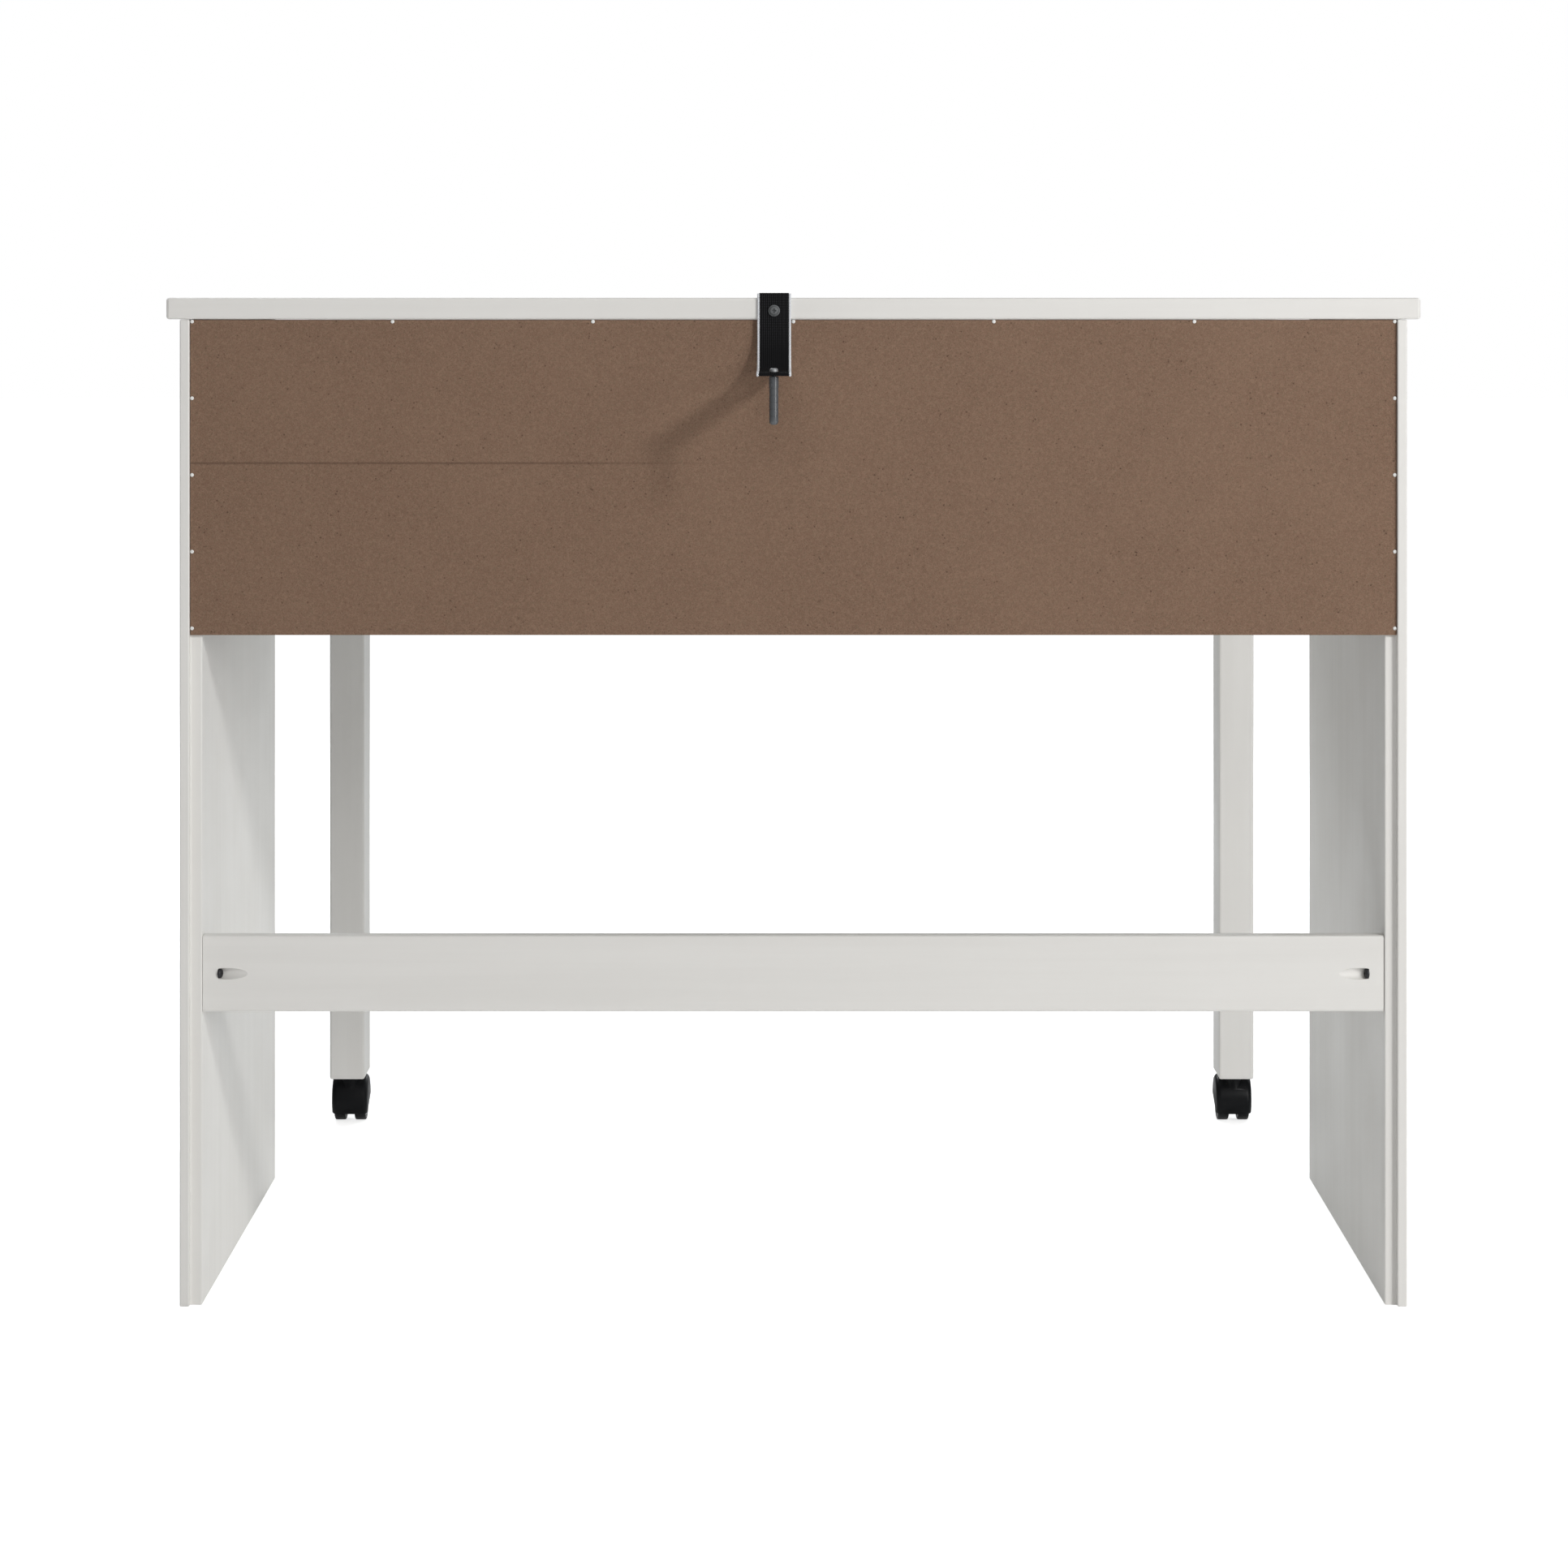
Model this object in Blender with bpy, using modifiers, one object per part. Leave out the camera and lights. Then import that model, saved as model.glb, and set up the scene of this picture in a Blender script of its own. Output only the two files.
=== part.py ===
"""Sewing table with a pull-out leaf that rolls on two castored legs.

The back of the table faces -Y and the leaf pulls out towards +Y.  The main body is
a top on two full-depth side panels, tied by a nailed hardboard back, a rail under
the top and a low rear stretcher.  The leaf frame runs on telescopic slides between
the side panels, and it is modelled pulled out to its stop.  A webbing strap on the
back edge of the top ties the table to a wall.

All sizes are in metres.
"""

import math

import bmesh
import bpy
from mathutils import Matrix, Vector

# ---------------------------------------------------------------- driving sizes

GAP = 0.0003                 # between faces that touch
RUNNING_CLEARANCE = 0.00008  # radial, between a shaft and the hole it turns in
SCREW_CLEARANCE = 0.0003     # radial, between a screw or nail and its hole

BOARD = 0.0159               # thickness of every coated board
TABLE_HEIGHT = 0.748
SIDES_WIDTH = 0.910          # over the outer faces of the side panels
SIDE_DEPTH = 0.495
TOP_OVERHANG = 0.010         # past the side panels, left, right and front
EDGE_ROUND = 0.0018          # rounded edges of the boards

RABBET_LIP = 0.0071          # outer strip left beside the rabbet
RABBET_DEPTH = 0.006
BACK_THICK = 0.0027
BACK_HEIGHT = 0.2338
BACK_TOP_GAP = 0.0005        # between the back and the underside of the top
BACK_SIDE_GAP = 0.0004

NAIL_HEAD_RADIUS = 0.0014
NAIL_HEAD_HEIGHT = 0.0006
NAIL_RADIUS = 0.0006
NAIL_LENGTH = 0.014
NAIL_POINT = 0.002
NAIL_COLUMNS = 7             # along the top edge of the back
NAIL_ROWS = 4                # down each side, below the top row
NAIL_EDGE_INSET = 0.0013     # from the back's side edge to the nail's centre
NAIL_BOTTOM_INSET = 0.005    # from the back's lower edge to the lowest nail

RAIL_HEIGHT = 0.0565
STRETCHER_TOP = 0.2741
STRETCHER_SETBACK = 0.0075   # from the back edges of the side panels

POCKET_RADIUS = 0.0043
POCKET_ANGLE = math.radians(17.0)
POCKET_END_DEPTH = 0.0057    # of the screw's axis at the stretcher's end
POCKET_SEAT = 0.0117         # from the stretcher's end to the screw's seat
POCKET_CUT_LENGTH = 0.060    # of the cutter, long enough to leave the face
POCKET_SCREW_HEAD = 0.0036
POCKET_SCREW_HEAD_HEIGHT = 0.0024
POCKET_SCREW_RADIUS = 0.0016
POCKET_SCREW_LENGTH = 0.025

CAM_RADIUS = 0.0075
CAM_DEPTH = 0.012
CAM_CHAMFER = 0.0005
CAM_DROP = 0.022             # below the underside of the top
CAM_INSET = 0.060            # from the back and the front of the side panel

LEG_WIDTH = 0.0312
LEG_DEPTH = 0.057
LEG_CLEARANCE = 0.0011       # between a leg and the caster's hood under it
LEAF_TRAVEL = 0.298
LEAF_TOP_CLEARANCE = 0.003   # between the leaf and the underside of the top
LEAF_REAR_CLEARANCE = 0.003  # between the pushed-in leaf and the rear rail
APRON_HEIGHT = 0.070
APRON_SETBACK = 0.004        # of the front apron behind the legs' front faces
RAIL_REAR_INSET = 0.005      # of the side rails inside the leaf's rear edge

SPACER_THICK = 0.0092
SLIDE_THICK = 0.0124
SLIDE_HEIGHT = 0.045
SLIDE_FRONT_INSET = 0.010    # behind the front edge of the side panel
SLIDE_REAR_INSET = 0.035     # in front of the back edge of the side panel
SLIDE_MIDDLE_SHORTER = 0.050   # than the outer and inner members
SLIDE_SHEET = 0.0012
SLIDE_PLAY = 0.0006          # between neighbouring slide members
SLIDE_BALL = 0.003           # room for the balls between two members' flanges
SLIDE_LIP = 0.003

WHEEL_RADIUS = 0.020
WHEEL_WIDTH = 0.0102         # tread of one of the twin wheels
WHEEL_DOME = 0.0006          # how far the outer face bulges past the tread
WHEEL_GAP = 0.008            # between the twin wheels
WHEEL_CORNER = 0.0016        # rounded edges of the tread
WHEEL_BORE_DEPTH = 0.0082
WEB_CLEARANCE = 0.0004       # between a wheel and the caster's web
HOOD_CLEARANCE = 0.0006
HOOD_WALL = 0.0014
HOOD_CHEEK = 0.0009          # walls over the wheels' outer faces
HOOD_CHEEK_CLEARANCE = 0.0004
HOOD_SHOULDER = 0.0048       # rounded edges of the hood
HOOD_WELL_CORNER = 0.0026    # rounded edges of the wells inside it
HOOD_REAR_ANGLE = math.radians(34)    # below the axle, behind the swivel
HOOD_FRONT_ANGLE = math.radians(10)   # above the axle, in front of it
CASTER_TRAIL = 0.013         # from the swivel axis to the wheels' axle
NECK_RADIUS = 0.0065
NECK_CLEARANCE = 0.0011      # between the neck and the socket's flange
STEM_RADIUS = 0.004
STEM_CHAMFER = 0.0015
STEM_PIN_RADIUS = 0.0022
STEM_PIN_LENGTH = 0.010      # seated in the hood's neck
STEM_LENGTH = 0.038          # inside the leg
SOCKET_HEADROOM = 0.004      # of the leg's bore above the socket
SOCKET_WALL = 0.0014
SOCKET_FLANGE = 0.0008
SOCKET_FLANGE_RADIUS = 0.0065
AXLE_RADIUS = 0.0025

STRAP_X = -0.0143            # from the middle of the table
STRAP_WIDTH = 0.0254
STRAP_THICK = 0.0014
STRAP_RISE = 0.0036          # above the top surface
STRAP_BEND_DROP = 0.0225     # from the top surface to where the strap bends outwards
STRAP_BEND_RADIUS = 0.0310
STRAP_SLOPE = math.radians(0.5)
STRAP_BEND_STEPS = 16
STRAP_REACH = 0.112          # from the table's back to the strap's end
STRAP_HEM = 0.018            # where the webbing is doubled under
STRAP_SCREW_DROP = 0.0095    # below the top surface
STRAP_SCREW_HEAD = 0.0043
STRAP_SCREW_HEAD_HEIGHT = 0.0020
STRAP_SCREW_RADIUS = 0.0018
STRAP_SCREW_LENGTH = 0.025
PLUG_RADIUS = 0.0035
PLUG_LENGTH = 0.035
PLUG_BORE = 0.0020
PLUG_INSET = 0.009           # from the strap's end to the plug's axis
PLUG_SCREW_HEAD = 0.0031
PLUG_SCREW_HEAD_HEIGHT = 0.0026
PLUG_SCREW_RADIUS = 0.0016
PLUG_SCREW_LENGTH = 0.030

# ---------------------------------------------------------------- derived sizes

LEG_FRONT = SIDE_DEPTH + LEAF_TRAVEL
LEAF_FRONT = LEG_FRONT + TOP_OVERHANG
BACK_Y = -(LEAF_FRONT - STRAP_REACH) / 2    # puts the origin under the middle

INNER_X = SIDES_WIDTH / 2 - BOARD
RABBET_X = SIDES_WIDTH / 2 - RABBET_LIP
TOP_UNDERSIDE = TABLE_HEIGHT - BOARD
SIDE_FRONT_Y = BACK_Y + SIDE_DEPTH
SIDE_TOP = TOP_UNDERSIDE - GAP

RABBET_Y = BACK_Y + RABBET_DEPTH
BACK_FACE_Y = RABBET_Y - GAP - BACK_THICK
BACK_TOP = TOP_UNDERSIDE - BACK_TOP_GAP
BACK_BOTTOM = BACK_TOP - BACK_HEIGHT
BACK_HALF_WIDTH = RABBET_X - BACK_SIDE_GAP
REAR_RAIL_FRONT_Y = RABBET_Y + BOARD

LEG_OUTER_X = INNER_X - 3 * GAP - SPACER_THICK - SLIDE_THICK
LEG_X = LEG_OUTER_X - LEG_WIDTH / 2
LEG_Y = BACK_Y + LEG_FRONT - LEG_DEPTH / 2
LEG_REAR_Y = BACK_Y + LEG_FRONT - LEG_DEPTH
LEAF_TOP = TOP_UNDERSIDE - LEAF_TOP_CLEARANCE
LEAF_UNDERSIDE = LEAF_TOP - BOARD
FRAME_TOP = LEAF_UNDERSIDE - GAP
LEAF_REAR_Y = REAR_RAIL_FRONT_Y + LEAF_REAR_CLEARANCE + LEAF_TRAVEL
SLIDE_Z = FRAME_TOP - APRON_HEIGHT / 2
SLIDE_LENGTH = SIDE_DEPTH - SLIDE_FRONT_INSET - SLIDE_REAR_INSET
SLIDE_MIDDLE_LENGTH = SLIDE_LENGTH - SLIDE_MIDDLE_SHORTER
SLIDE_Y = SIDE_FRONT_Y - SLIDE_FRONT_INSET - SLIDE_LENGTH / 2

AXLE_Z = WHEEL_RADIUS
AXLE_Y = LEG_Y + CASTER_TRAIL
WEB_HALF = WHEEL_GAP / 2 - WEB_CLEARANCE
HOOD_RADIUS = WHEEL_RADIUS + HOOD_CLEARANCE + HOOD_WALL
WELL_END = WHEEL_GAP / 2 + WHEEL_WIDTH + WHEEL_DOME + HOOD_CHEEK_CLEARANCE
HOOD_HALF_WIDTH = WELL_END + HOOD_CHEEK
LEG_BOTTOM = AXLE_Z + HOOD_RADIUS + LEG_CLEARANCE
SOCKET_BOTTOM = LEG_BOTTOM - GAP - SOCKET_FLANGE
NECK_TOP = SOCKET_BOTTOM - NECK_CLEARANCE
SOCKET_BORE = STEM_RADIUS + RUNNING_CLEARANCE
SOCKET_RADIUS = SOCKET_BORE + SOCKET_WALL
STEM_TOP = LEG_BOTTOM + STEM_LENGTH

BEVEL_STEPS = 2
ROUND_STEPS = 28             # facets of shafts and bores
FINE_STEPS = 36              # facets of wheels and hoods
SCREW_STEPS = 20
NAIL_STEPS = 12
DOME_STEPS = 3
CORNER_STEPS = 2

SIDES = (("left", -1), ("right", 1))


# ---------------------------------------------------------------- scene helpers

def clear_scene():
    """Remove every object already in the file."""
    for obj in list(bpy.data.objects):
        bpy.data.objects.remove(obj, do_unlink=True)


def new_collection(name):
    """Return a new collection linked to the scene."""
    collection = bpy.data.collections.new(name)
    bpy.context.scene.collection.children.link(collection)
    return collection


def make_material(name, color, roughness, metallic=0.0):
    """Return a Principled material with one colour."""
    material = bpy.data.materials.new(name)
    material.use_nodes = True
    shader = material.node_tree.nodes["Principled BSDF"]
    shader.inputs["Base Color"].default_value = (*color, 1.0)
    shader.inputs["Roughness"].default_value = roughness
    shader.inputs["Metallic"].default_value = metallic
    material.diffuse_color = (*color, 1.0)
    return material


def make_empty(name, location, parent=None):
    """Return an empty that carries the pieces of one body."""
    empty = bpy.data.objects.new(name, None)
    empty.empty_display_size = 0.05
    PARTS.objects.link(empty)
    empty.location = location
    if parent is not None:
        attach(empty, parent)
    return empty


def attach(obj, parent):
    """Parent obj and keep its world place."""
    bpy.context.view_layer.update()
    obj.parent = parent
    obj.matrix_parent_inverse = parent.matrix_world.inverted()


def finish(obj, material, parent, smooth=True):
    """Give a piece its material, shading and parent."""
    if obj.data.materials:
        obj.data.materials[0] = material
    else:
        obj.data.materials.append(material)
    if smooth:
        obj.data.shade_smooth()
        obj.data.set_sharp_from_angle(angle=math.radians(35))
    attach(obj, parent)
    return obj


# ---------------------------------------------------------------- shape helpers

def mesh_object(name, bm, location=(0, 0, 0), collection=None):
    """Turn a bmesh into a linked object."""
    mesh = bpy.data.meshes.new(name)
    bm.to_mesh(mesh)
    bm.free()
    obj = bpy.data.objects.new(name, mesh)
    (collection or PARTS).objects.link(obj)
    obj.location = location
    return obj


def box(name, low, high, collection=None):
    """A box between two corners, with its origin in its middle."""
    low = Vector(low)
    high = Vector(high)
    bm = bmesh.new()
    bmesh.ops.create_cube(bm, size=1.0)
    bmesh.ops.scale(bm, vec=high - low, verts=bm.verts)
    return mesh_object(name, bm, (low + high) / 2, collection)


def cylinder(name, radius, length, location, direction, steps=ROUND_STEPS, collection=None):
    """A cylinder centred at location with its axis along direction."""
    bm = bmesh.new()
    bmesh.ops.create_cone(bm, cap_ends=True, segments=steps, radius1=radius,
                          radius2=radius, depth=length)
    obj = mesh_object(name, bm, location, collection)
    obj.rotation_euler = Vector(direction).to_track_quat("Z", "Y").to_euler()
    return obj


def round_edges(obj, width=EDGE_ROUND, steps=BEVEL_STEPS):
    """Round the sharp edges of a piece."""
    bevel = obj.modifiers.new("rounded_edges", "BEVEL")
    bevel.width = width
    bevel.segments = steps
    bevel.limit_method = "ANGLE"
    bevel.angle_limit = math.radians(40)
    return obj


def cut(obj, cutter, operation="DIFFERENCE"):
    """Cut obj with a cutter, or join the cutter to it."""
    cutter.hide_render = True
    cutter.display_type = "WIRE"
    boolean = obj.modifiers.new(operation.lower(), "BOOLEAN")
    boolean.operation = operation
    boolean.object = cutter
    return obj


def board(name, low, high, material, parent):
    """A coated board with rounded edges."""
    obj = round_edges(box(name, low, high))
    return finish(obj, material, parent)


def turned(name, profile, location, direction, steps=ROUND_STEPS, closed=False):
    """A turned piece: profile is (radius, height) running down the outer side."""
    bm = bmesh.new()
    verts = [bm.verts.new((radius, 0.0, height)) for radius, height in profile]
    for first, second in zip(verts, verts[1:]):
        bm.edges.new((first, second))
    if closed:
        bm.edges.new((verts[-1], verts[0]))
    obj = mesh_object(name, bm, location)
    obj.rotation_euler = Vector(direction).to_track_quat("Z", "Y").to_euler()
    screw = obj.modifiers.new("turn", "SCREW")
    screw.axis = "Z"
    screw.steps = steps
    screw.render_steps = steps
    screw.use_merge_vertices = True
    screw.merge_threshold = 0.00002
    screw.use_smooth_shade = True
    return obj


def outline_solid(name, points, width, location, plane, collection=None):
    """A flat outline of the given width, drawn in the YZ or the XZ plane."""
    curve = bpy.data.curves.new(name + "_outline", "CURVE")
    curve.dimensions = "2D"
    curve.fill_mode = "BOTH"
    curve.extrude = width / 2
    spline = curve.splines.new("POLY")
    spline.points.add(len(points) - 1)
    for point, (across, up) in zip(spline.points, points):
        point.co = (across, up, 0.0, 1.0)
    spline.use_cyclic_u = True
    drawn = bpy.data.objects.new(name + "_outline", curve)
    PARTS.objects.link(drawn)
    drawn.location = location
    if plane == "YZ":
        drawn.rotation_euler = (math.pi / 2, 0.0, math.pi / 2)
    else:
        drawn.rotation_euler = (math.pi / 2, 0.0, 0.0)
    bpy.context.view_layer.update()
    depsgraph = bpy.context.evaluated_depsgraph_get()
    mesh = bpy.data.meshes.new_from_object(drawn.evaluated_get(depsgraph))
    bm = bmesh.new()
    bm.from_mesh(mesh)
    bmesh.ops.remove_doubles(bm, verts=bm.verts, dist=0.00001)
    bmesh.ops.recalc_face_normals(bm, faces=bm.faces)
    bm.to_mesh(mesh)
    bm.free()
    mesh.name = name
    obj = bpy.data.objects.new(name, mesh)
    (collection or PARTS).objects.link(obj)
    obj.matrix_world = drawn.matrix_world
    bpy.data.objects.remove(drawn, do_unlink=True)
    return obj


def arc(centre, radius, start, end, steps):
    """Points of a circle's arc, angles in radians."""
    points = []
    for index in range(steps + 1):
        angle = start + (end - start) * index / steps
        points.append((centre[0] + radius * math.cos(angle),
                       centre[1] + radius * math.sin(angle)))
    return points


def holes(obj, name, radius, starts, direction, length, steps=ROUND_STEPS):
    """Cut round holes that begin at the given points and run along direction."""
    way = Vector(direction).normalized()
    turn = way.to_track_quat("Z", "Y").to_matrix().to_4x4()
    bm = bmesh.new()
    for start in starts:
        place = Matrix.Translation(Vector(start) + way * length / 2) @ turn
        bmesh.ops.create_cone(bm, cap_ends=True, segments=steps, radius1=radius,
                              radius2=radius, depth=length, matrix=place)
    return cut(obj, mesh_object(name, bm, collection=CUTTERS))


def screw_profile(head_radius, head_height, shank_radius, length):
    """Profile of a screw with a low domed head, its seat at height 0."""
    return [(0.0, head_height),
            (head_radius * 0.55, head_height * 0.92),
            (head_radius * 0.90, head_height * 0.60),
            (head_radius, head_height * 0.30),
            (head_radius, 0.0),
            (shank_radius, 0.0),
            (shank_radius, -length + shank_radius * 1.5),
            (shank_radius * 0.3, -length),
            (0.0, -length)]


# ---------------------------------------------------------------- main body

def nail_places():
    """Centres (x, z) of the nails in the back: the top row, then each side."""
    side_x = BACK_HALF_WIDTH - NAIL_EDGE_INSET
    top_z = TOP_UNDERSIDE - GAP - NAIL_HEAD_RADIUS
    bottom_z = BACK_BOTTOM + NAIL_BOTTOM_INSET
    places = []
    for column in range(NAIL_COLUMNS):
        places.append((side_x * (2 * column / (NAIL_COLUMNS - 1) - 1), top_z))
    for _, sign in SIDES:
        for row in range(1, NAIL_ROWS + 1):
            places.append((sign * side_x, top_z + (bottom_z - top_z) * row / NAIL_ROWS))
    return places


def pocket_axis(sign):
    """Seat centre and direction of the pocket screw at one end of the stretcher."""
    end = Vector((sign * (INNER_X - GAP), BACK_Y + STRETCHER_SETBACK + POCKET_END_DEPTH,
                  STRETCHER_TOP - RAIL_HEIGHT / 2))
    way = Vector((sign * math.cos(POCKET_ANGLE), math.sin(POCKET_ANGLE), 0.0))
    seat = end - way * POCKET_SEAT / math.cos(POCKET_ANGLE)
    return seat, way


def make_top(parent):
    """The main top, with the hole for the strap's screw in its back edge."""
    half_width = SIDES_WIDTH / 2 + TOP_OVERHANG
    top = round_edges(box("top_panel",
                          (-half_width, BACK_Y, TOP_UNDERSIDE),
                          (half_width, SIDE_FRONT_Y + TOP_OVERHANG, TABLE_HEIGHT)))
    holes(top, "cut_strap_screw_top", STRAP_SCREW_RADIUS + SCREW_CLEARANCE,
          [(STRAP_X, BACK_Y - GAP, TABLE_HEIGHT - STRAP_SCREW_DROP)], (0, 1, 0),
          STRAP_SCREW_LENGTH + 2 * GAP, NAIL_STEPS)
    return finish(top, WHITE_BOARD, parent)


def cam_places(sign):
    """Centres of the cam locks on a side panel's inner face."""
    z = TOP_UNDERSIDE - CAM_DROP
    return [Vector((sign * INNER_X, BACK_Y + CAM_INSET, z)),
            Vector((sign * INNER_X, SIDE_FRONT_Y - CAM_INSET, z))]


def make_side(name, sign, parent):
    """A side panel with its rabbet, nail holes, screw hole and cam bores."""
    outer = sign * SIDES_WIDTH / 2
    inner = sign * INNER_X
    low = (min(outer, inner), BACK_Y, 0.0)
    high = (max(outer, inner), SIDE_FRONT_Y, SIDE_TOP)
    side = box("side_panel_" + name, low, high)
    past_inner = sign * (INNER_X - BOARD)
    rabbet_low = (min(sign * RABBET_X, past_inner), BACK_Y - BOARD, -BOARD)
    rabbet_high = (max(sign * RABBET_X, past_inner), RABBET_Y, TABLE_HEIGHT)
    cut(side, box("cut_rabbet_" + name, rabbet_low, rabbet_high, CUTTERS))
    round_edges(side, EDGE_ROUND / 2)
    nails = [(x, RABBET_Y - GAP, z) for x, z in nail_places() if x * sign > INNER_X]
    holes(side, "cut_nails_" + name, NAIL_RADIUS + SCREW_CLEARANCE, nails, (0, 1, 0),
          NAIL_LENGTH, NAIL_STEPS)
    seat, way = pocket_axis(sign)
    holes(side, "cut_pocket_screw_side_" + name, POCKET_SCREW_RADIUS + SCREW_CLEARANCE,
          [seat], way, POCKET_SCREW_LENGTH + GAP, NAIL_STEPS)
    cams = [place - Vector((sign * GAP, 0, 0)) for place in cam_places(sign)]
    holes(side, "cut_cams_" + name, CAM_RADIUS + GAP, cams, (sign, 0, 0),
          CAM_DEPTH + 2 * GAP)
    return finish(side, WHITE_BOARD, parent)


def make_back(parent):
    """The hardboard back in its rabbets, drilled for its nails."""
    back = box("back_panel",
               (-BACK_HALF_WIDTH, BACK_FACE_Y, BACK_BOTTOM),
               (BACK_HALF_WIDTH, BACK_FACE_Y + BACK_THICK, BACK_TOP))
    nails = [(x, BACK_FACE_Y - GAP, z) for x, z in nail_places()]
    holes(back, "cut_back_nails", NAIL_RADIUS + SCREW_CLEARANCE, nails, (0, 1, 0),
          BACK_THICK + 2 * GAP, NAIL_STEPS)
    return finish(back, HARDBOARD, parent, smooth=False)


def make_nails(parent):
    """Round-headed nails through the back into the side panels and the rail."""
    profile = [(0.0, NAIL_HEAD_HEIGHT),
               (NAIL_HEAD_RADIUS * 0.7, NAIL_HEAD_HEIGHT * 0.8),
               (NAIL_HEAD_RADIUS, 0.0),
               (NAIL_RADIUS, 0.0),
               (NAIL_RADIUS, -NAIL_LENGTH + NAIL_POINT),
               (0.0, -NAIL_LENGTH)]
    for index, (x, z) in enumerate(nail_places()):
        nail = turned(f"back_nail_{index + 1:02d}", profile, (x, BACK_FACE_Y - GAP, z),
                      (0, -1, 0), NAIL_STEPS)
        finish(nail, WHITE_METAL, parent)


def make_rear_rail(parent):
    """The rail under the top that takes the top row of nails."""
    rail = round_edges(box("rear_top_rail",
                           (-INNER_X + GAP, RABBET_Y + GAP, SIDE_TOP - RAIL_HEIGHT),
                           (INNER_X - GAP, REAR_RAIL_FRONT_Y, SIDE_TOP)), EDGE_ROUND / 4, 1)
    nails = [(x, RABBET_Y, z) for x, z in nail_places() if abs(x) < INNER_X]
    holes(rail, "cut_rail_nails", NAIL_RADIUS + SCREW_CLEARANCE, nails, (0, 1, 0),
          NAIL_LENGTH, NAIL_STEPS)
    return finish(rail, WHITE_BOARD, parent)


def make_stretcher(parent):
    """The low rear stretcher with a pocket at each end for its screws."""
    rear = BACK_Y + STRETCHER_SETBACK
    bottom = STRETCHER_TOP - RAIL_HEIGHT
    half_width = INNER_X + EDGE_ROUND
    stretcher = round_edges(box("rear_stretcher", (-half_width, rear, bottom),
                                (half_width, rear + BOARD, STRETCHER_TOP)))
    for name, sign in SIDES:
        near = sign * (INNER_X - GAP)
        far = sign * (half_width + GAP)
        cut(stretcher, box("cut_end_" + name,
                           (min(near, far), rear - GAP, bottom - GAP),
                           (max(near, far), rear + BOARD + GAP, STRETCHER_TOP + GAP),
                           CUTTERS))
        seat, way = pocket_axis(sign)
        holes(stretcher, "cut_pocket_" + name, POCKET_RADIUS, [seat], -way,
              POCKET_CUT_LENGTH)
        holes(stretcher, "cut_pocket_screw_" + name, POCKET_SCREW_RADIUS + SCREW_CLEARANCE,
              [seat - way * GAP], way, POCKET_SCREW_LENGTH, NAIL_STEPS)
    return finish(stretcher, WHITE_BOARD, parent)


def make_pocket_screws(parent):
    """The screws that hold the stretcher to the side panels."""
    profile = screw_profile(POCKET_SCREW_HEAD, POCKET_SCREW_HEAD_HEIGHT,
                            POCKET_SCREW_RADIUS, POCKET_SCREW_LENGTH)
    for name, sign in SIDES:
        seat, way = pocket_axis(sign)
        screw = turned("stretcher_screw_" + name, profile, seat - way * GAP, -way,
                       SCREW_STEPS)
        finish(screw, DARK_STEEL, parent)


def make_cams(parent):
    """Cam locks that pull the top down on to the side panels."""
    for name, sign in SIDES:
        for place, where in zip(cam_places(sign), ("rear", "front")):
            middle = place + Vector((sign * CAM_DEPTH / 2, 0, 0))
            cam = cylinder(f"cam_lock_{name}_{where}", CAM_RADIUS, CAM_DEPTH, middle,
                           (sign, 0, 0), ROUND_STEPS)
            round_edges(cam, CAM_CHAMFER, 1)
            finish(cam, ZINC, parent)


# ---------------------------------------------------------------- slides

def channel(depth, height, lip, sheet):
    """Outline of a channel, its web at 0 and its mouth, lipped or plain, at depth."""
    half = height / 2
    inside = half - sheet
    upper = [(depth, half - lip), (depth - sheet, half - lip), (depth - sheet, inside)]
    if lip == 0.0:
        upper = [(depth, inside)]
    lower = [(across, -up) for across, up in reversed(upper)]
    return ([(0.0, -half), (depth, -half)] + lower[::-1]
            + [(sheet, -inside), (sheet, inside)] + upper[::-1] + [(depth, half), (0.0, half)])


def make_slide_member(name, sign, outline, mirrored, offset, length, centre_y, parent):
    """One rolled-steel slide member; offset runs inwards from the spacer."""
    start = sign * (INNER_X - GAP - SPACER_THICK - GAP)
    if mirrored:
        points = [(start - sign * (offset - across), up) for across, up in outline]
    else:
        points = [(start - sign * (offset + across), up) for across, up in outline]
    member = outline_solid(name, points, length, (0.0, centre_y, SLIDE_Z), "XZ")
    return finish(member, ZINC, parent, smooth=False)


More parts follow.
